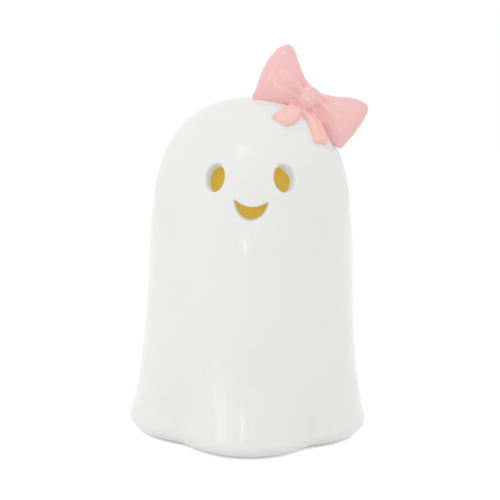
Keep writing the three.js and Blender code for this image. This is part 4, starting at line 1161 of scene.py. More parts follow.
def cast_bow(body, bow):
    """Loops, knot and tails fused on a fine grid, smoothed, and seated on the head."""
    axes, middle = bow_frame(body, bow)
    loops = [loop_rings(bow, INNER_LOOP, INNER_TIP), loop_rings(bow, OUTER_LOOP, OUTER_TIP)]
    parts = [skin("bow_part", rings @ axes + middle) for rings in (*loops, knot_rings(bow))]
    parts += [skin("bow_part", tail_rings(body, bow, tail)) for tail in TAILS]
    made = merged("ghost_bow", parts)
    fuse = made.modifiers.new("fuse", "REMESH")
    fuse.mode = "VOXEL"
    fuse.voxel_size = bow.voxel
    applied(made)
    points = smoothed(points_of(made), edges_of(made), bow.smoothing)
    made.data.vertices.foreach_set("co", points.ravel())
    overhang = middle + np.array([*OUTER_TIP, 0]) * MM @ axes
    points = seat_on_head(body, points, normals_of(made), 0.6 * MM, 2.2 * MM, overhang)
    points = smoothed(points, edges_of(made), bow.smoothing // 2)
    made.data.vertices.foreach_set("co", points.ravel())
    made.data.update()
    # The hollows and creases take the deeper pink: partly pooled glaze, partly painted shade.
    store(made, "hollow", hollows(made, 40, 0.38 * MM))
    tails = np.concatenate([tail_rings(body, bow, tail, 40, 36)[12:].reshape(-1, 3) for tail in TAILS])
    store(made, "thin", smooth(np.clip(1.8 - nearest(points, tails) / (1.2 * MM), 0, 1)))
    return shaded(made, 60)


def film_sheet(body):
    """Film behind the face: a grid over azimuth and height that follows the inside of the wall, and back on
    the same grid one thickness further in."""
    near, thick = body.wall + PLAY * MM, 0.5 * MM
    azimuth = np.radians(np.linspace(-33, 33, 90))
    height = np.linspace(104 * MM, 143 * MM, 50)
    outer = body_point(body, azimuth[None], height[:, None], near)
    inner = body_point(body, azimuth[None], height[:, None], near + thick)
    return skin("amber_face_film", np.concatenate([outer, inner[:, ::-1]], axis=1))


# The light unit's pieces, each worked out above the unit's own underside.
def unit_part(name, rings, wrap=False):
    """A skin over rings of points that are given from the middle of the unit's underside."""
    return skin(name, rings + UNIT, wrap)


def spun(name, profile, columns=96, wrap=True, place=(0, 0)):
    """A profile of radii and heights turned about an upright axis: each radius times the cosine and sine. The
    place is that axis from the unit's middle, in millimetres. The profile closes on itself, or with wrap off
    starts and ends near the axis."""
    radius, height = np.array(profile, float).T[..., None]
    angle = around(columns)
    x, y = place[0] * MM + radius * np.cos(angle), place[1] * MM + radius * np.sin(angle)
    return unit_part(name, stacked(x, y, height), wrap)


def about(middle, half):
    """The two places that lie half a width before and after a middle."""
    return middle - half, middle + half


def wider(places, distance):
    """The two places moved apart by the distance at either end."""
    return places[0] - distance, places[1] + distance


def block(x, y, z, edge=0.0, corner=0.3):
    """Tool or wall between two places along each axis, in millimetres."""
    x, y, z = (sorted(value * MM for value in pair) for pair in (x, y, z))
    outline = rounded_rectangle(x, y, corner * MM)
    return unit_part("block", plate(outline, z[0], z[1], edge * MM))


def post(x, y, radius, z, edge=0.0):
    """Round tool or pin on a place, in millimetres."""
    outline = circle(radius * MM, 40, (x * MM, y * MM))
    return unit_part("post", plate(outline, min(z) * MM, max(z) * MM, edge * MM))


def circled(number, radius, first):
    """Places evenly round the unit's middle, the first one at an angle."""
    angles = first + np.arange(number) * FULL_TURN / number
    return [(radius * math.cos(angle), radius * math.sin(angle)) for angle in angles]


def compartment(unit):
    """The compartment's sides in millimetres: x and y of its inside, and its ceiling above the underside."""
    middle = (CELL[0].y + CELL[1].y) / 2 - UNIT[1]
    half = unit.compartment_width / 2
    ceiling = above_unit(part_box("cell_1")[1].z) + CELL_PLAY * MM
    x = (-unit.compartment_length / 2 / MM, unit.compartment_length / 2 / MM)
    return x, ((middle - half) / MM, (middle + half) / MM), ceiling / MM


# Places in millimetres from the unit's middle. A tongue's place is only its y.
BOSSES = circled(3, 29.3, -math.pi / 2)
LAMPS = circled(3, 6.4, math.pi / 2)
LEGS = [(x + aside, y) for x, y in LAMPS for aside in (-1.27, 1.27)]
STAKES = circled(3, 9.6, math.pi / 2 + math.pi / 3)
DOOR_SCREW = (middle_of("door_screw").x / MM, (middle_of("door_screw").y - UNIT[1]) / MM)
TONGUES = about(DOOR_SCREW[1], 6)


def moulded_housing(unit):
    """Flange and tub as one turned profile, joined to the compartment, bosses and the switch's cheeks, less
    the cells' space, the door's rebate, the hook pockets, the screw holes and the switch's slot and well."""
    tub_inner, edge = unit.tub_radius - unit.tub_wall, unit.edge
    corners = [
        (4 * MM, unit.flange), (tub_inner, unit.flange), (tub_inner, unit.tub_height),
        (unit.tub_radius, unit.tub_height), (unit.tub_radius, unit.flange), (unit.flange_radius, unit.flange),
        (unit.flange_radius, 0), (4 * MM, 0),
    ]
    made = spun("light_unit_housing", rounded(corners, edge), 144)
    x, y, ceiling = compartment(unit)
    wall, top, switch = unit.compartment_wall / MM, unit.tub_height / MM, unit.switch_back / MM
    joined = [block(wider(x, wall), wider(y, wall), (0.02, ceiling + wall), 0.3, 0.8)]
    joined += [post(*place, BOSS, (0.5, top), 0.2) for place in BOSSES]
    joined += [post(*DOOR_SCREW, 2.7, (0.5, 8), 0.3)]
    joined += [block((side * 5, side * 6.4), about(switch, SWITCH), (0.5, 7.6), 0.2) for side in (-1, 1)]
    cut(made, joined, "UNION")
    lap = unit.door_lap / MM + DOOR_PLAY
    rebate = unit.door / MM + PLAY
    pocket = (x[0] - lap - TONGUE_REACH, x[0] + 0.5)
    tools = [block(x, y, (-1, ceiling), 0, 0.4)]
    tools += [block(wider(x, lap), wider(y, lap), (-1, rebate), 0, 1.95)]
    tools += [post(*DOOR_SCREW, EAR + DOOR_PLAY, (-1, rebate))]
    tools += [block(pocket, about(tongue, TONGUE + DOOR_PLAY), (rebate - 0.5, 4.2)) for tongue in TONGUES]
    tools += [post(*place, SCREW_HOLE, (16.5, top + 1)) for place in BOSSES]
    tools += [post(*DOOR_SCREW, SCREW_HOLE, (-1, 5.8))]
    tools += [block((-3, 3), about(switch, 1.5), (-1, 4))]
    tools += [block((-5, 5), about(switch, 3.3), (-1, 1), 0, 1.2)]
    for cell in CELL:
        slit = about((cell.y - UNIT[1]) / MM, 1.5)
        tools += [block((x[1] - 0.7, x[1]), slit, (ceiling - 1, ceiling + wall + 1), 0, 0.1)]
    return shaded(cut(made, tools))


def moulded_cap(unit):
    """Plate, rim and collar as one turned profile, with three stakes for the board, less holes for the lamps
    and screws."""
    inner = unit.tub_radius - unit.tub_wall - unit.clearance
    collar = unit.dome_radius + unit.clearance
    top, under = unit.cap_top, unit.tub_height
    rim, rim_end, outside, collar_top = inner - 1.4 * MM, under - 2.5 * MM, collar + 1.2 * MM, top + 2.5 * MM
    corners = [
        (0.2 * MM, under), (rim, under), (rim, rim_end), (inner, rim_end), (inner, under),
        (unit.tub_radius, under), (unit.tub_radius, top), (outside, top), (outside, collar_top),
        (collar, collar_top), (collar, top), (0.2 * MM, top),
    ]
    made = spun("light_unit_cap", rounded(corners, unit.edge, closed=False), 144, False)
    board_top, board_bottom = unit.board_top / MM, (unit.board_top - unit.board) / MM
    joined = []
    for place in STAKES:
        joined += [post(*place, STAKE, (board_top, under / MM + 0.4))]
        joined += [post(*place, STAKE_PIN, (board_bottom - 0.8, board_top + 0.3))]
        joined += [post(*place, 1.35, (board_bottom - 1, board_bottom - 0.3), 0.25)]
    cut(made, joined, "UNION")
    through = (under / MM - 1, top / MM + 1)
    tools = [post(*place, 2.8, through) for place in LAMPS]
    tools += [post(*place, SCREW_HOLE, through) for place in BOSSES]
    tools += [post(*place, BOSS + PLAY, (under / MM - 4, under / MM)) for place in BOSSES]
    return shaded(cut(made, tools))


def frosted_dome(unit):
    """Straight skirt, then a quarter of an ellipse up to the crown, outside and one wall further in."""
    rise = unit.dome_top - unit.cap_top - unit.dome_skirt
    spring = unit.cap_top + unit.dome_skirt
    angle = np.linspace(0, math.pi / 2 - 0.004, 40)
    outer = oval(angle, unit.dome_radius, rise, (0, spring))
    inside = unit.dome_radius - unit.dome_wall
    inner = oval(angle, inside, rise - unit.dome_wall, (0, spring))
    base = unit.cap_top
    rim = rounded([inner[0], (inside, base), (unit.dome_radius, base), outer[0]], unit.edge, closed=False)
    return shaded(spun("frosted_dome", np.concatenate([inner[::-1], rim[1:-1], outer]), 128, False))


def ribbed_ring(unit, ribs=3, depth=0.7 * MM):
    """Ring whose outer face swells into round ribs: the radius falls by a raised cosine between them."""
    t = np.linspace(0, 1, 49)
    inner = unit.tub_radius + unit.clearance
    outer = unit.ring_radius - depth * (0.5 + 0.5 * np.cos(FULL_TURN * ribs * t)) ** 1.5
    height = unit.flange + unit.ring_height * t
    profile = [(inner, unit.flange), *zip(outer, height), (inner, height[-1])]
    return shaded(spun("soft_grip_ring", profile, 128))


def threaded_screw(name, place, seat, shank, up, columns=40):
    """Cross-headed screw. The head's top is a flattened arch over its radius. On the shank the radius falls
    from the thread's crest by a saw tooth of height and angle together."""
    head, crest, pitch, depth, tall = 2.3 * MM, 1.1 * MM, 0.55 * MM, 0.22 * MM, 1.3 * MM
    angle = around(columns)
    t = np.linspace(0.02, 1, 14)
    top = stacked(head * t, tall * (1 - 0.75 * t**3.2))
    neck = rounded([top[-1], (head, 0), (crest, 0), (crest, -0.3 * MM)], 0.12 * MM, closed=False)[1:]
    profile = np.concatenate([top, neck])
    rows = np.repeat(profile[:, :1], columns, axis=1), np.repeat(profile[:, 1:], columns, axis=1)
    down = np.linspace(0.3 * MM, shank, int(shank / pitch * 10))[:, None]
    tooth = np.abs(2 * ((down / pitch - angle / FULL_TURN) % 1) - 1)
    fade = np.clip((down - 0.3 * MM) / (0.6 * MM), 0, 1) * (1 - tooth)
    point = 1 - 0.5 * np.clip((down - shank + 0.8 * MM) / (0.8 * MM), 0, 1) ** 2
    radius = np.concatenate([rows[0], (crest - depth * fade) * point])
    height = np.concatenate([rows[1], np.broadcast_to(-down, tooth.shape)])
    flip = 1 if up else -1
    x, y = place[0] * MM + radius * np.cos(angle), place[1] * MM + radius * np.sin(angle)
    made = unit_part(name, stacked(x, y, seat + flip * height))
    low, high = (seat + flip * z for z in (tall - 0.7 * MM, tall + 1 * MM))
    tools = [
        block(about(place[0], x_half), about(place[1], y_half), (low / MM, high / MM), 0, 0.15)
        for x_half, y_half in ((1.25, 0.25), (0.25, 1.25))
    ]
    return shaded(cut(made, tools), 30)


def etched_board(unit):
    """Round board with holes for the stakes and the lamps' legs."""
    top, bottom = unit.board_top, unit.board_top - unit.board
    outline = circle(unit.board_radius, 96)
    made = unit_part("lamp_board_plate", plate(outline, bottom, top, 0.1 * MM))
    z = (bottom / MM - 1, top / MM + 1)
    tools = [post(*place, STAKE_PIN + PLAY, z) for place in STAKES]
    tools += [post(*place, 0.5, z) for place in LEGS]
    return shaded(cut(made, tools))


def lamp_bulb(unit, number):
    """Flange, straight side and half a sphere, turned about the lamp's own middle."""
    radius, flange, shoulder = 2.5, 2.9, 6.1
    angle = np.linspace(0, math.pi / 2 - 0.02, 12)
    crown = oval(angle, radius, radius, (0, shoulder))
    corners = [(0.1, 0), (flange, 0), (flange, 1), (radius, 1), (radius, shoulder)]
    side = rounded(corners, 0.15, closed=False)
    profile = np.concatenate([side[:-1], crown]) * MM + (0, unit.board_top)
    return shaded(spun(f"lamp_bulb_{number + 1}", profile, 40, False, LAMPS[number]))


def lamp_legs(unit):
    """The lamps' six legs with a cone of solder round each where it leaves the board."""
    profile = np.array([(0.25, 0), (0.25, 0.15), (0.32, 0.6), (0.62, 1.05), (0.8, 1.17)]) * MM
    profile += (0, unit.board_top - unit.board - 1.2 * MM)
    return shaded(merged("lamp_legs", [spun("leg", profile, 16, False, place) for place in LEGS]))


def chip_resistor(unit):
    """Small chip under the board, in three parts: body, and metal ends a hair proud of it."""
    top = (unit.board_top - unit.board) / MM
    body = block((-1.25, 1.25), (-0.78, 0.78), (top - 0.58, top - 0.02), 0.06, 0.08)
    ends = [block((side * 1.15, side * 1.6), (-0.8, 0.8), (top - 0.6, top), 0.08, 0.1) for side in (-1, 1)]
    body.name, metal = "resistor_body", merged("resistor_ends", ends)
    return shaded(body), shaded(metal)


def switch_can(unit):
    """Folded can, open below, with three pins on its insulated top."""
    switch, base = unit.switch_back / MM, unit.flange / MM
    made = block((-4.7, 4.7), about(switch, SWITCH), (base, base + 4.6), 0.35, 0.4)
    made.name = "slide_switch_can"
    pins = [
        block(about(x, 0.4), about(switch, 0.2), (base + 4.2, base + 7.1), 0.1, 0.08) for x in (-2.5, 0, 2.5)
    ]
    cut(made, pins, "UNION")
    tools = [block((-3.8, 3.8), about(switch, 1.8), (base - 1, base + 2.2))]
    for x in (-2.4, 2.4):
        for side in (-1, 1):
            dent = (switch + side * 2.45, switch + side * 3.2)
            tools += [block(about(x, 0.7), dent, (base + 2.9, base + 3.5), 0, 0.2)]
    return shaded(cut(made, tools))


def switch_knob(unit):
    """Carriage, stem and knob of the slider, the knob grooved across its travel."""
    switch, base, x = unit.switch_back / MM, unit.flange / MM, -1.5
    made = block(about(x, 2), about(switch, 1.8), (-0.8, 0.7), 0.25, 0.5)
    made.name = "switch_knob"
    joined = [
        block(about(x, 1.2), about(switch, 1.2), (0.3, base + 1.5), 0.1),
        block(about(x, 1.9), about(switch, 1.5), (base + 0.3, base + 1.9), 0.2),
    ]
    cut(made, joined, "UNION")
    tools = [
        block(about(x + aside, 0.25), about(switch, 3), (-1.8, -0.45), 0, 0.1) for aside in (-1.15, 0, 1.15)
    ]
    return shaded(cut(made, tools))


def hooked_door(unit):
    """Door plate with the screw's ear, two hooked tongues and a grooved patch for the thumb."""
    x, y, _ = compartment(unit)
    lap, thick = unit.door_lap / MM, unit.door / MM
    hooked, screwed = wider(x, lap)
    made = block((hooked, screwed), wider(y, lap), (0, thick), 0.25, 1.6)
    made.name = "hooked_battery_door"
    joined = [post(*DOOR_SCREW, EAR, (0, thick), 0.25)]
    for tongue in TONGUES:
        joined += [block((hooked + 0.05, hooked + 1.2), about(tongue, TONGUE), (0.4, 3.4), 0.2)]
        joined += [block((hooked - TONGUE_REACH, hooked + 1.2), about(tongue, TONGUE), (2.4, 3.4), 0.3, 0.5)]
    cut(made, joined, "UNION")
    tools = [post(*DOOR_SCREW, 2.6, (-1, 1.3)), post(*DOOR_SCREW, SCREW_HOLE, (-1, 3))]
    for number in range(5):
        groove = about(screwed - 2 * (number + 2), 0.5)
        tools += [block(groove, about(DOOR_SCREW[1], 5.75), (-1, 0.4), 0, 0.45)]
    return shaded(cut(made, tools))


def dry_cell(number):
    """Cell turned about its own middle line: a groove in the flat end, beads at both ends of the sleeve, a
    step to the nub. One attribute tells the sleeve from bare metal, the other how far a point is from the
    flat end."""
    low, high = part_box(f"cell_{number + 1}")
    middle, half, r = CELL[number], (high.x - low.x) / 2, (high.z - low.z) / 2 / MM
    end, nub = (1 if number == 0 else -1), 2 * half / MM
    top = nub - 1
    corners = [
        (0.1, 0), (r - 1.6, 0), (r - 1.35, 0.22), (r - 0.6, 0.22), (r - 0.35, 0), (r - 0.1, 0), (r, 0.4),
        (r, top - 0.5), (r - 0.2, top - 0.05), (r - 0.9, top - 0.02), (r - 1.2, top - 0.3),
        (2.2, top - 0.3), (1.95, top - 0.1), (1.9, nub - 0.15), (1.7, nub), (0.1, nub),
    ]
    profile = rounded(corners, 0.12, 3, closed=False)
    angle = around(72)
    radius, along = profile[:, :1] * MM, profile[:, 1:] * MM
    y, z = middle.y + radius * np.cos(angle), middle.z + radius * np.sin(angle)
    made = skin(f"dry_cell_{number + 1}", stacked(middle.x + end * (along - half), y, z))
    points = points_of(made)
    off = np.hypot(points[:, 1] - middle.y, points[:, 2] - middle.z)
    store(made, "sleeve", np.where(off > (r - 0.5) * MM, 1.0, 0.0))
    store(made, "from_flat", (end * (points[:, 0] - middle.x) + half) / (2 * half))
    return shaded(made)


def contact_spring(end, y, unit):
    """Wire of the spring: a helix of three and a half turns, whose radius shrinks evenly as it leaves the
    plate."""
    t = np.linspace(0, 1, 260)
    angle = 3.5 * FULL_TURN * t
    radius = (3.3 - 1.2 * t) * MM
    reach = (0.3 + 3.6 * t) * MM
    plate_face = unit.compartment_length / 2 - 0.4 * MM
    height = above_unit(CELL[0].z)
    line = stacked(end * (plate_face - reach), y + radius * np.cos(angle), height + radius * np.sin(angle))
    return unit_part("spring", coil_rings(line, 0.3 * MM, 12))


def contact_plate(end, y, width, unit, tab):
    """Plate with rounded corners and, where it is wired, a solder tab with a hole."""
    face = unit.compartment_length / 2 / MM
    x = sorted((end * (face - 0.4), end * face))
    middle = above_unit(CELL[0].z) / MM
    sides, ends = ([place * MM for place in pair] for pair in (about(y, width / 2), about(middle, 3.7)))
    outline = rounded_rectangle(sides, ends, 1.2 * MM)
    rings = plate(outline, x[0] * MM, x[1] * MM, 0.08 * MM)[..., [2, 0, 1]]
    made = unit_part("contact", rings)
    if tab:
        roof = compartment(unit)[2] + unit.compartment_wall / MM
        cut(made, [block(x, about(y, 1.2), (middle, roof + 2.2), 0, 0.1)], "UNION")
        hole = plate(circle(0.45 * MM, 20, (y * MM, (roof + 1.3) * MM)), (x[0] - 1) * MM, (x[1] + 1) * MM)
        cut(made, [unit_part("hole", hole[..., [2, 0, 1]])])
    return made


def pressed_dome(end, y, unit):
    """Round bump of a contact: a raised cosine over its radius."""
    face = unit.compartment_length / 2 - 0.2 * MM
    t = np.linspace(1, 0.02, 14)[:, None]
    angle = around(40)
    radius = 2.2 * MM * t
    rise = 1.2 * MM * (0.5 + 0.5 * np.cos(math.pi * t**1.6))
    height = above_unit(CELL[0].z) + radius * np.sin(angle)
    return unit_part("bump", stacked(end * (face - rise), y + radius * np.cos(angle), height))


def contacts(unit):
    """The three contacts: one with a bump, one with a spring, and the link with both."""
    a, b = ((cell.y - UNIT[1]) / MM for cell in CELL)
    positive = contact_plate(1, a, 8.6, unit, True)
    negative = contact_plate(1, b, 8.6, unit, True)
    link = contact_plate(-1, (a + b) / 2, abs(b - a) + 8.6, unit, False)
    cut(positive, [pressed_dome(1, a * MM, unit)], "UNION")
    cut(negative, [contact_spring(1, b * MM, unit)], "UNION")
    cut(link, [contact_spring(-1, a * MM, unit), pressed_dome(-1, b * MM, unit)], "UNION")
    for made, name in zip((positive, negative, link), ("bump_contact", "spring_contact", "link_plate")):
        made.name = name
        shaded(made)
    return positive, negative, link


# Routes of the three wires, in millimetres from the unit's middle and above its underside.
RED_ROUTE = [
    (23.85, -8.55, 14.4), (19.85, -9.55, 14.7), (14, -7.55, 14.9), (8, -5.55, 14.1), (6.8, -5.15, 18.1),
    (6.8, -5.15, 19.1),
]
BLACK_ROUTE = [
    (23.85, 2.55, 14.4), (20.35, 6.05, 14.5), (14, 12.8, 13.1), (5, 16.2, 13.1), (2.5, 17.8, 11.4),
    (2.5, 17.8, 10.4),
]
SWITCH_ROUTE = [
    (0, 17.8, 10.4), (0, 17.8, 11.4), (-1.5, 16.2, 13.3), (-4.5, 12.8, 14.1), (-5.4, 7, 14.1),
    (-5.2, 5.4, 18.1), (-5.2, 5.4, 19.1),
]


def insulated_wire(name, route, unit):
    """A wire with its insulation along its route."""
    return shaded(unit_part(name, tube(np.array(route) * MM, unit.wire)), 60)


def foam_pads():
    """Five pads, each with a softened rim."""
    pads = []
    for number in range(5):
        low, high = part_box(f"foot_pad_{number + 1}")
        middle, radius = (low + high) / 2, (high.x - low.x) / 2
        outline = circle(radius, 64, (middle.x, middle.y))
        pads.append(shaded(skin(f"foam_pad_{number + 1}", plate(outline, low.z, high.z, 0.28 * MM)), 50))
    return pads


class PieceOperator:
    """What the operators share. Each one's execute builds its pieces and finishes them."""

    bl_options = {"REGISTER", "UNDO"}


def unit_settings(context):
    """The sizes of the light unit and the colours of the finishes."""
    return context.scene.unit_sizes, context.scene.finishes


class ORNAMENT_OT_body(PieceOperator, bpy.types.Operator):
    """Cast the hollow body with its face, drapes and floor"""

    bl_idname = "ornament.body"
    bl_label = "Ceramic body"

    def execute(self, context):
        scene = context.scene
        tones = scene.finishes
        material = glaze(
            "white_glaze", tones.white_glaze, tones.painted_shade_white, ripple=0.04, mirror=0.2, clay=tones.bisque
        )
        made = cast_shell(scene.body_sizes, scene.face_sizes)
        finished(made, "ghost", "white_glaze", material, "ghost_shell")
        return {"FINISHED"}


class ORNAMENT_OT_bow(PieceOperator, bpy.types.Operator):
    """Shape the bow and fuse it to the head"""

    bl_idname = "ornament.bow"
    bl_label = "Ceramic bow"

    def execute(self, context):
        scene = context.scene
        tones = scene.finishes
        material = glaze(
            "pink_glaze", tones.pink_glaze, tones.pooled_and_shaded_pink, ripple=0.22, mirror=0.3, thin=tones.thin_pink
        )
        made = cast_bow(scene.body_sizes, scene.bow_sizes)
        glint_receivers().objects.link(made)
        finished(made, "ghost", "pink_glaze", material, "bow")
        return {"FINISHED"}


class ORNAMENT_OT_film(PieceOperator, bpy.types.Operator):
    """Lay the amber film behind the face"""

    bl_idname = "ornament.film"
    bl_label = "Amber film"

    def execute(self, context):
        scene = context.scene
        tones = scene.finishes
        material = glowing_film("amber_film", tones.amber, tones.glow_on_walls, scene.stage_sizes.glow)
        made = shaded(film_sheet(scene.body_sizes))
        finished(made, "ghost", "amber_film", material, "face_film")
        return {"FINISHED"}


class ORNAMENT_OT_pads(PieceOperator, bpy.types.Operator):
    """Set the five foam pads under the hem"""

    bl_idname = "ornament.pads"
    bl_label = "Foam pads"

    def execute(self, context):
        material = closed_foam("pad_foam", context.scene.finishes.pad)
        for number, made in enumerate(foam_pads()):
            finished(made, "ghost", "pad_foam", material, f"foot_pad_{number + 1}")
        return {"FINISHED"}


class ORNAMENT_OT_housing(PieceOperator, bpy.types.Operator):
    """Mould the housing of the light unit"""

    bl_idname = "ornament.housing"
    bl_label = "Housing"

    def execute(self, context):
        unit, tones = unit_settings(context)
        finished(moulded_housing(unit), "light_unit", "unit_plastic", moulded_plastic(tones), "base_housing")
        return {"FINISHED"}


class ORNAMENT_OT_cap(PieceOperator, bpy.types.Operator):
    """Mould the cap with the dome's collar"""

    bl_idname = "ornament.cap"
    bl_label = "Cap"

    def execute(self, context):
        unit, tones = unit_settings(context)
        finished(moulded_cap(unit), "light_unit", "unit_plastic", moulded_plastic(tones), "top_cap")
        return {"FINISHED"}


class ORNAMENT_OT_dome(PieceOperator, bpy.types.Operator):
    """Blow the frosted dome"""

    bl_idname = "ornament.dome"
    bl_label = "Diffuser dome"

    def execute(self, context):
        unit, tones = unit_settings(context)
        material = translucent(
            "frosted_plastic", tones.frosted, roughness=0.5, through=0.3, ior=1.45, lit=0.3
        )
        finished(frosted_dome(unit), "light_unit", "frosted_plastic", material, "diffuser_dome")
        return {"FINISHED"}


class ORNAMENT_OT_ring(PieceOperator, bpy.types.Operator):
    """Mould the soft ring that grips the ceramic"""

    bl_idname = "ornament.ring"
    bl_label = "Grip ring"

    def execute(self, context):
        unit, tones = unit_settings(context)
        material = grained("soft_ring", tones.silicone, 0.55, 700.0, 0.92, strength=0.12)
        finished(ribbed_ring(unit), "light_unit", "soft_ring", material, "grip_ring")
        return {"FINISHED"}


class ORNAMENT_OT_screws(PieceOperator, bpy.types.Operator):
    """Turn the three cap screws and the door's screw"""

    bl_idname = "ornament.screws"
    bl_label = "Screws"

    def execute(self, context):
        unit, tones = unit_settings(context)
        steel = plated_steel(tones)
        for number, place in enumerate(BOSSES):
            name = f"cap_screw_thread_{number + 1}"
            made = threaded_screw(name, place, seat=unit.cap_top, shank=8 * MM, up=True)
            finished(made, "light_unit", "plated_steel", steel, f"cap_screw_{number + 1}")
        made = threaded_screw("door_screw_thread", DOOR_SCREW, seat=1.3 * MM, shank=4.2 * MM, up=False)
        finished(made, "battery_door", "plated_steel", steel, "door_screw")
        return {"FINISHED"}


class ORNAMENT_OT_board(PieceOperator, bpy.types.Operator):
    """Etch the board and solder its resistor"""

    bl_idname = "ornament.board"
    bl_label = "Board"

    def execute(self, context):
        unit, tones = unit_settings(context)
        material = solder_mask("board_green", tones.board)
        finished(etched_board(unit), "light_unit", "board_green", material, "lamp_board")
        body, ends = chip_resistor(unit)
        finished(body, "light_unit", "black_plastic", black_plastic(tones), "board_resistor")
        finished(ends, "light_unit", "plated_steel", plated_steel(tones))
        return {"FINISHED"}


class ORNAMENT_OT_lamps(PieceOperator, bpy.types.Operator):
    """Cast the three lamps and solder their legs"""

    bl_idname = "ornament.lamps"
    bl_label = "Lamps"

    def execute(self, context):
        unit, tones = unit_settings(context)
        material = translucent("lamp_resin", tones.resin, roughness=0.12, through=0.8, ior=1.5, lit=0.5)
        for number in range(3):
            made = lamp_bulb(unit, number)
            finished(made, "light_unit", "lamp_resin", material, f"lamp_{number + 1}")
        finished(lamp_legs(unit), "light_unit", "plated_steel", plated_steel(tones))
        return {"FINISHED"}


class ORNAMENT_OT_switch(PieceOperator, bpy.types.Operator):
    """Fold the switch's can and mould its slider"""

    bl_idname = "ornament.switch"
    bl_label = "Switch"

    def execute(self, context):
        unit, tones = unit_settings(context)
        finished(switch_can(unit), "light_unit", "plated_steel", plated_steel(tones), "switch_body")
        finished(switch_knob(unit), "switch", "black_plastic", black_plastic(tones), "switch_slider")
        return {"FINISHED"}


class ORNAMENT_OT_door(PieceOperator, bpy.types.Operator):
    """Mould the battery door"""

    bl_idname = "ornament.door"
    bl_label = "Battery door"

    def execute(self, context):
        unit, tones = unit_settings(context)
        finished(hooked_door(unit), "battery_door", "unit_plastic", moulded_plastic(tones), "battery_door")
        return {"FINISHED"}


class ORNAMENT_OT_cells(PieceOperator, bpy.types.Operator):
    """Turn the two cells"""

    bl_idname = "ornament.cells"
    bl_label = "Cells"

    def execute(self, context):
        unit, tones = unit_settings(context)
        material = cell_sleeve("cell_jacket", tones.jacket, tones.steel)
        for number in range(2):
            finished(dry_cell(number), "light_unit", "cell_jacket", material, f"cell_{number + 1}")
        return {"FINISHED"}


class ORNAMENT_OT_contacts(PieceOperator, bpy.types.Operator):
    """Press the contact plates and wind their springs"""

    bl_idname = "ornament.contacts"
    bl_label = "Contacts"

    def execute(self, context):
        unit, tones = unit_settings(context)
        nodes = ("positive_contact", "negative_contact", "link_contact")
        for made, node in zip(contacts(unit), nodes):
            finished(made, "light_unit", "plated_steel", plated_steel(tones), node)
        return {"FINISHED"}


class ORNAMENT_OT_wires(PieceOperator, bpy.types.Operator):
    """Route the three insulated wires"""

    bl_idname = "ornament.wires"
    bl_label = "Wires"

    def execute(self, context):
        unit, tones = unit_settings(context)
        red = grained("red_insulation", tones.red, 0.38, 1400.0, 0.85)
        black = grained("black_insulation", tones.black, 0.38, 1400.0, 1.4)
        wires = {
            "red_wire": (RED_ROUTE, "red_insulation", red),
            "black_wire": (BLACK_ROUTE, "black_insulation", black),
            "switch_wire": (SWITCH_ROUTE, "black_insulation", black),
        }
        for node, (route, slot, material) in wires.items():
            made = insulated_wire(f"{node}_insulation", route, unit)
            finished(made, "light_unit", slot, material, node)
        return {"FINISHED"}


def camera_ray_mix(tree, shown, lit):
    """The shown shader for rays from the camera and for reflected or refracted ones, else the lit one."""
    path = add_node(tree, "ShaderNodeLightPath").outputs
    seen = math_of(tree, "MAXIMUM", path["Is Camera Ray"], path["Is Glossy Ray"])
    seen = math_of(tree, "MAXIMUM", seen, path["Is Transmission Ray"])
    return add_node(tree, "ShaderNodeMixShader", {0: seen, 1: lit, 2: shown}).outputs[0]


def grey(level):
    """An opaque grey."""
    return opaque((level, level, level))


def add_floor():
    """Pale round floor, seen as white, which keeps the shadow and can't be seen from below. Where the object
    comes within the contact distance of it, a painted contact shadow darkens what the camera sees of it."""
    painted_shadow_reach, white_level = 2.0 * MM, 0.80
    made = mesh_object("floor", stacked(*circle(3.0, 96).T, 0), [list(range(96))])
    material = bpy.data.materials.new("pale_floor")
    tree = bare_tree(material)
    cloud = between(tree, noise_of(tree, 3.0), 0.3, 0.7)
    pale = mix_of(tree, cloud, grey(0.50), grey(0.49))
    diffuse = add_node(tree, "ShaderNodeBsdfDiffuse", {"Color": pale}).outputs[0]
    distance = {"Distance": painted_shadow_reach}
    # Painted contact shadow: ambient occlusion near the object darkens the white that the camera sees.
    free = add_node(tree, "ShaderNodeAmbientOcclusion", distance, samples=16).outputs["AO"]
    contact = mix_of(tree, between(tree, free, 0.1, 0.8), grey(0.36), grey(1.0))
    white = add_node(tree, "ShaderNodeEmission", {"Color": contact, "Strength": white_level}).outputs[0]
    shown = add_node(tree, "ShaderNodeAddShader", {0: diffuse, 1: white}).outputs[0]
    bounce = add_node(tree, "ShaderNodeBsdfDiffuse", {"Color": grey(0.88)}).outputs[0]
    seen = camera_ray_mix(tree, shown, bounce)
    clear = add_node(tree, "ShaderNodeBsdfTransparent").outputs[0]
    below = add_node(tree, "ShaderNodeNewGeometry").outputs["Backfacing"]
    mixed = add_node(tree, "ShaderNodeMixShader", {0: below, 1: seen, 2: clear}).outputs[0]
    add_node(tree, "ShaderNodeOutputMaterial", {"Surface": mixed})
    made.data.materials.append(material)


def add_surroundings(level):
    """White surroundings: seen at full white, and lighting the object at the level."""
    world = bpy.data.worlds.new("white_tent")
    tree = bare_tree(world)
    lit, shown = (
        add_node(tree, "ShaderNodeBackground", {"Color": grey(1.0), "Strength": strength}).outputs[0]
        for strength in (level, 1.0)
    )
    add_node(tree, "ShaderNodeOutputWorld", {"Surface": camera_ray_mix(tree, shown, lit)})
    bpy.context.scene.world = world


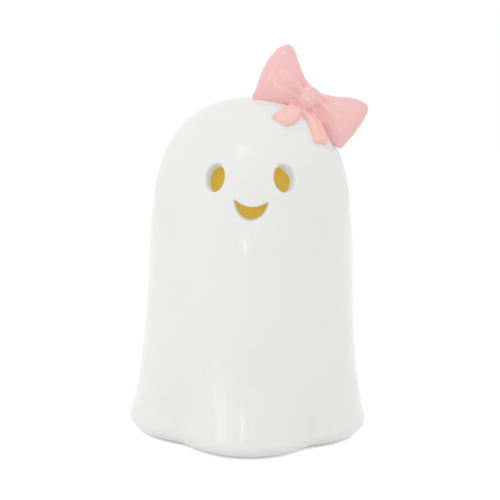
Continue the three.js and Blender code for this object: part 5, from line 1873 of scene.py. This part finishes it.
def add_lamp(name, place, target, size, power, size_y=None):
    """Area lamp that looks at the target."""
    light = bpy.data.lights.new(name, "AREA")
    light.energy = power
    light.size = size
    if size_y:
        light.shape = "RECTANGLE"
        light.size_y = size_y
    made = placed(name, light)
    made.location = place
    made.rotation_mode = "QUATERNION"
    made.rotation_quaternion = (Vector(target) - Vector(place)).to_track_quat("-Z", "Y")
    return made


# The camera's line of sight, and how far its frame is shifted sideways, as a share of the frame.
SIGHT = (-0.0158, 0.9872, -0.1588)
FRAME_SHIFT = -0.00168


def add_camera(stage):
    """Camera at the place, aim and roll of the photograph's view."""
    data = bpy.data.cameras.new("camera")
    data.lens = stage.lens
    data.sensor_width = 36
    data.shift_x = FRAME_SHIFT
    forward = Vector(SIGHT).normalized()
    level = forward.cross(Vector((0, 0, 1))).normalized()
    upright = level.cross(forward)
    right = level * math.cos(stage.roll) + upright * math.sin(stage.roll)
    up = upright * math.cos(stage.roll) - level * math.sin(stage.roll)
    made = placed("camera", data)
    turned = Matrix((right, up, -forward)).transposed().to_4x4()
    made.matrix_world = Matrix.Translation((stage.aside, -stage.distance, stage.rise)) @ turned
    bpy.context.scene.camera = made


# Place, target and size of the large lamp.
KEY_LAMP = ((-0.9, -1.0, 1.1), (0, 0, 0.1), 0.9)

# Small lamps that only show as highlights: place, target, width, height and power. The first three show on
# the forehead, the chest and the front drape. The others fall on the bow alone: one on its upper loop, one on
# the knot and two on the lower loop.
HIGHLIGHTS = [
    ((-0.215, -0.681, 0.886), (-0.0045, -0.0412, 0.1463), 0.20, 0.22, 0.45),
    ((-0.100, -1.045, 0.110), (-0.0024, -0.0505, 0.1030), 0.05, 0.030, 0.12),
    ((-0.088, -0.168, 0.021), (-0.0120, -0.0562, 0.0210), 0.044, 0.008, 0.0046),
]
BOW_GLINTS = [
    ((0.0314, -0.0420, 0.3050), (0.0142, -0.0069, 0.1922), 0.009, 0.036, 0.0180),
    ((0.0464, -0.1143, 0.2308), (0.0110, -0.0121, 0.1788), 0.006, 0.030, 0.0062),
    ((-0.0435, -0.0965, 0.2226), (0.0241, -0.0116, 0.1713), 0.004, 0.016, 0.0050),
    ((-0.0420, -0.0992, 0.1880), (0.0371, -0.0118, 0.1652), 0.006, 0.030, 0.0036),
]


def glint_receivers():
    """The collection of the pieces that the bow's own highlights fall on."""
    name = "glint_receivers"
    return bpy.data.collections.get(name) or bpy.data.collections.new(name)


def add_highlight(name, place, target, width, height, power):
    """A lamp that is seen only in the gloss of the pieces."""
    made = add_lamp(name, place, target, width, power, height)
    made.visible_camera = made.visible_diffuse = made.visible_transmission = False
    return made


class ORNAMENT_OT_stage(PieceOperator, bpy.types.Operator):
    """Set the floor, the white surroundings, the lamps and the camera"""

    bl_idname = "ornament.stage"
    bl_label = "Stage"

    def execute(self, context):
        stage = context.scene.stage_sizes
        context.scene.view_settings.view_transform = "Standard"
        add_camera(stage)
        add_floor()
        add_surroundings(stage.sky)
        add_lamp("key", *KEY_LAMP, stage.key).visible_glossy = False
        for values in HIGHLIGHTS:
            add_highlight("highlight", *values)
        for values in BOW_GLINTS:
            add_highlight("bow_glint", *values).light_linking.receiver_collection = glint_receivers()
        return {"FINISHED"}


class ORNAMENT_PT_panel(bpy.types.Panel):
    """Lists the sizes and the steps"""

    bl_idname = "ORNAMENT_PT_panel"
    bl_label = "Light-up ghost"
    bl_space_type = "VIEW_3D"
    bl_region_type = "UI"
    bl_category = "Ornament"

    def draw(self, context):
        """Each step's button, then each group of sizes in a box."""
        for step in STEPS:
            self.layout.operator(step.bl_idname)
        for name in SETTINGS:
            box = self.layout.box()
            box.label(text=name.replace("_", " ").capitalize())
            settings = getattr(context.scene, name)
            for key in settings.__annotations__:
                box.prop(settings, key)


# The groups of sizes, under the names that the scene keeps them by.
SETTINGS = {
    "body_sizes": BodySizes,
    "face_sizes": FaceSizes,
    "bow_sizes": BowSizes,
    "unit_sizes": UnitSizes,
    "finishes": Finishes,
    "stage_sizes": StageSizes,
}
# The operators in the order in which they run.
STEPS = (
    ORNAMENT_OT_stage, ORNAMENT_OT_body, ORNAMENT_OT_bow, ORNAMENT_OT_film, ORNAMENT_OT_pads,
    ORNAMENT_OT_housing, ORNAMENT_OT_cap, ORNAMENT_OT_dome, ORNAMENT_OT_ring, ORNAMENT_OT_screws,
    ORNAMENT_OT_board, ORNAMENT_OT_lamps, ORNAMENT_OT_switch, ORNAMENT_OT_door, ORNAMENT_OT_cells,
    ORNAMENT_OT_contacts, ORNAMENT_OT_wires,
)
CLASSES = (*SETTINGS.values(), *STEPS, ORNAMENT_PT_panel)


def register():
    """Makes the classes known, and gives the scene its sizes."""
    for made in CLASSES:
        bpy.utils.register_class(made)
    for name, settings in SETTINGS.items():
        setattr(bpy.types.Scene, name, PointerProperty(type=settings))


def unregister():
    """Takes back what register did."""
    for name in SETTINGS:
        delattr(bpy.types.Scene, name)
    for made in reversed(CLASSES):
        bpy.utils.unregister_class(made)


def main():
    """Builds the stage and every piece."""
    register()
    for step in STEPS:
        getattr(bpy.ops.ornament, step.bl_idname.removeprefix("ornament."))()


if __name__ == "__main__":
    main()
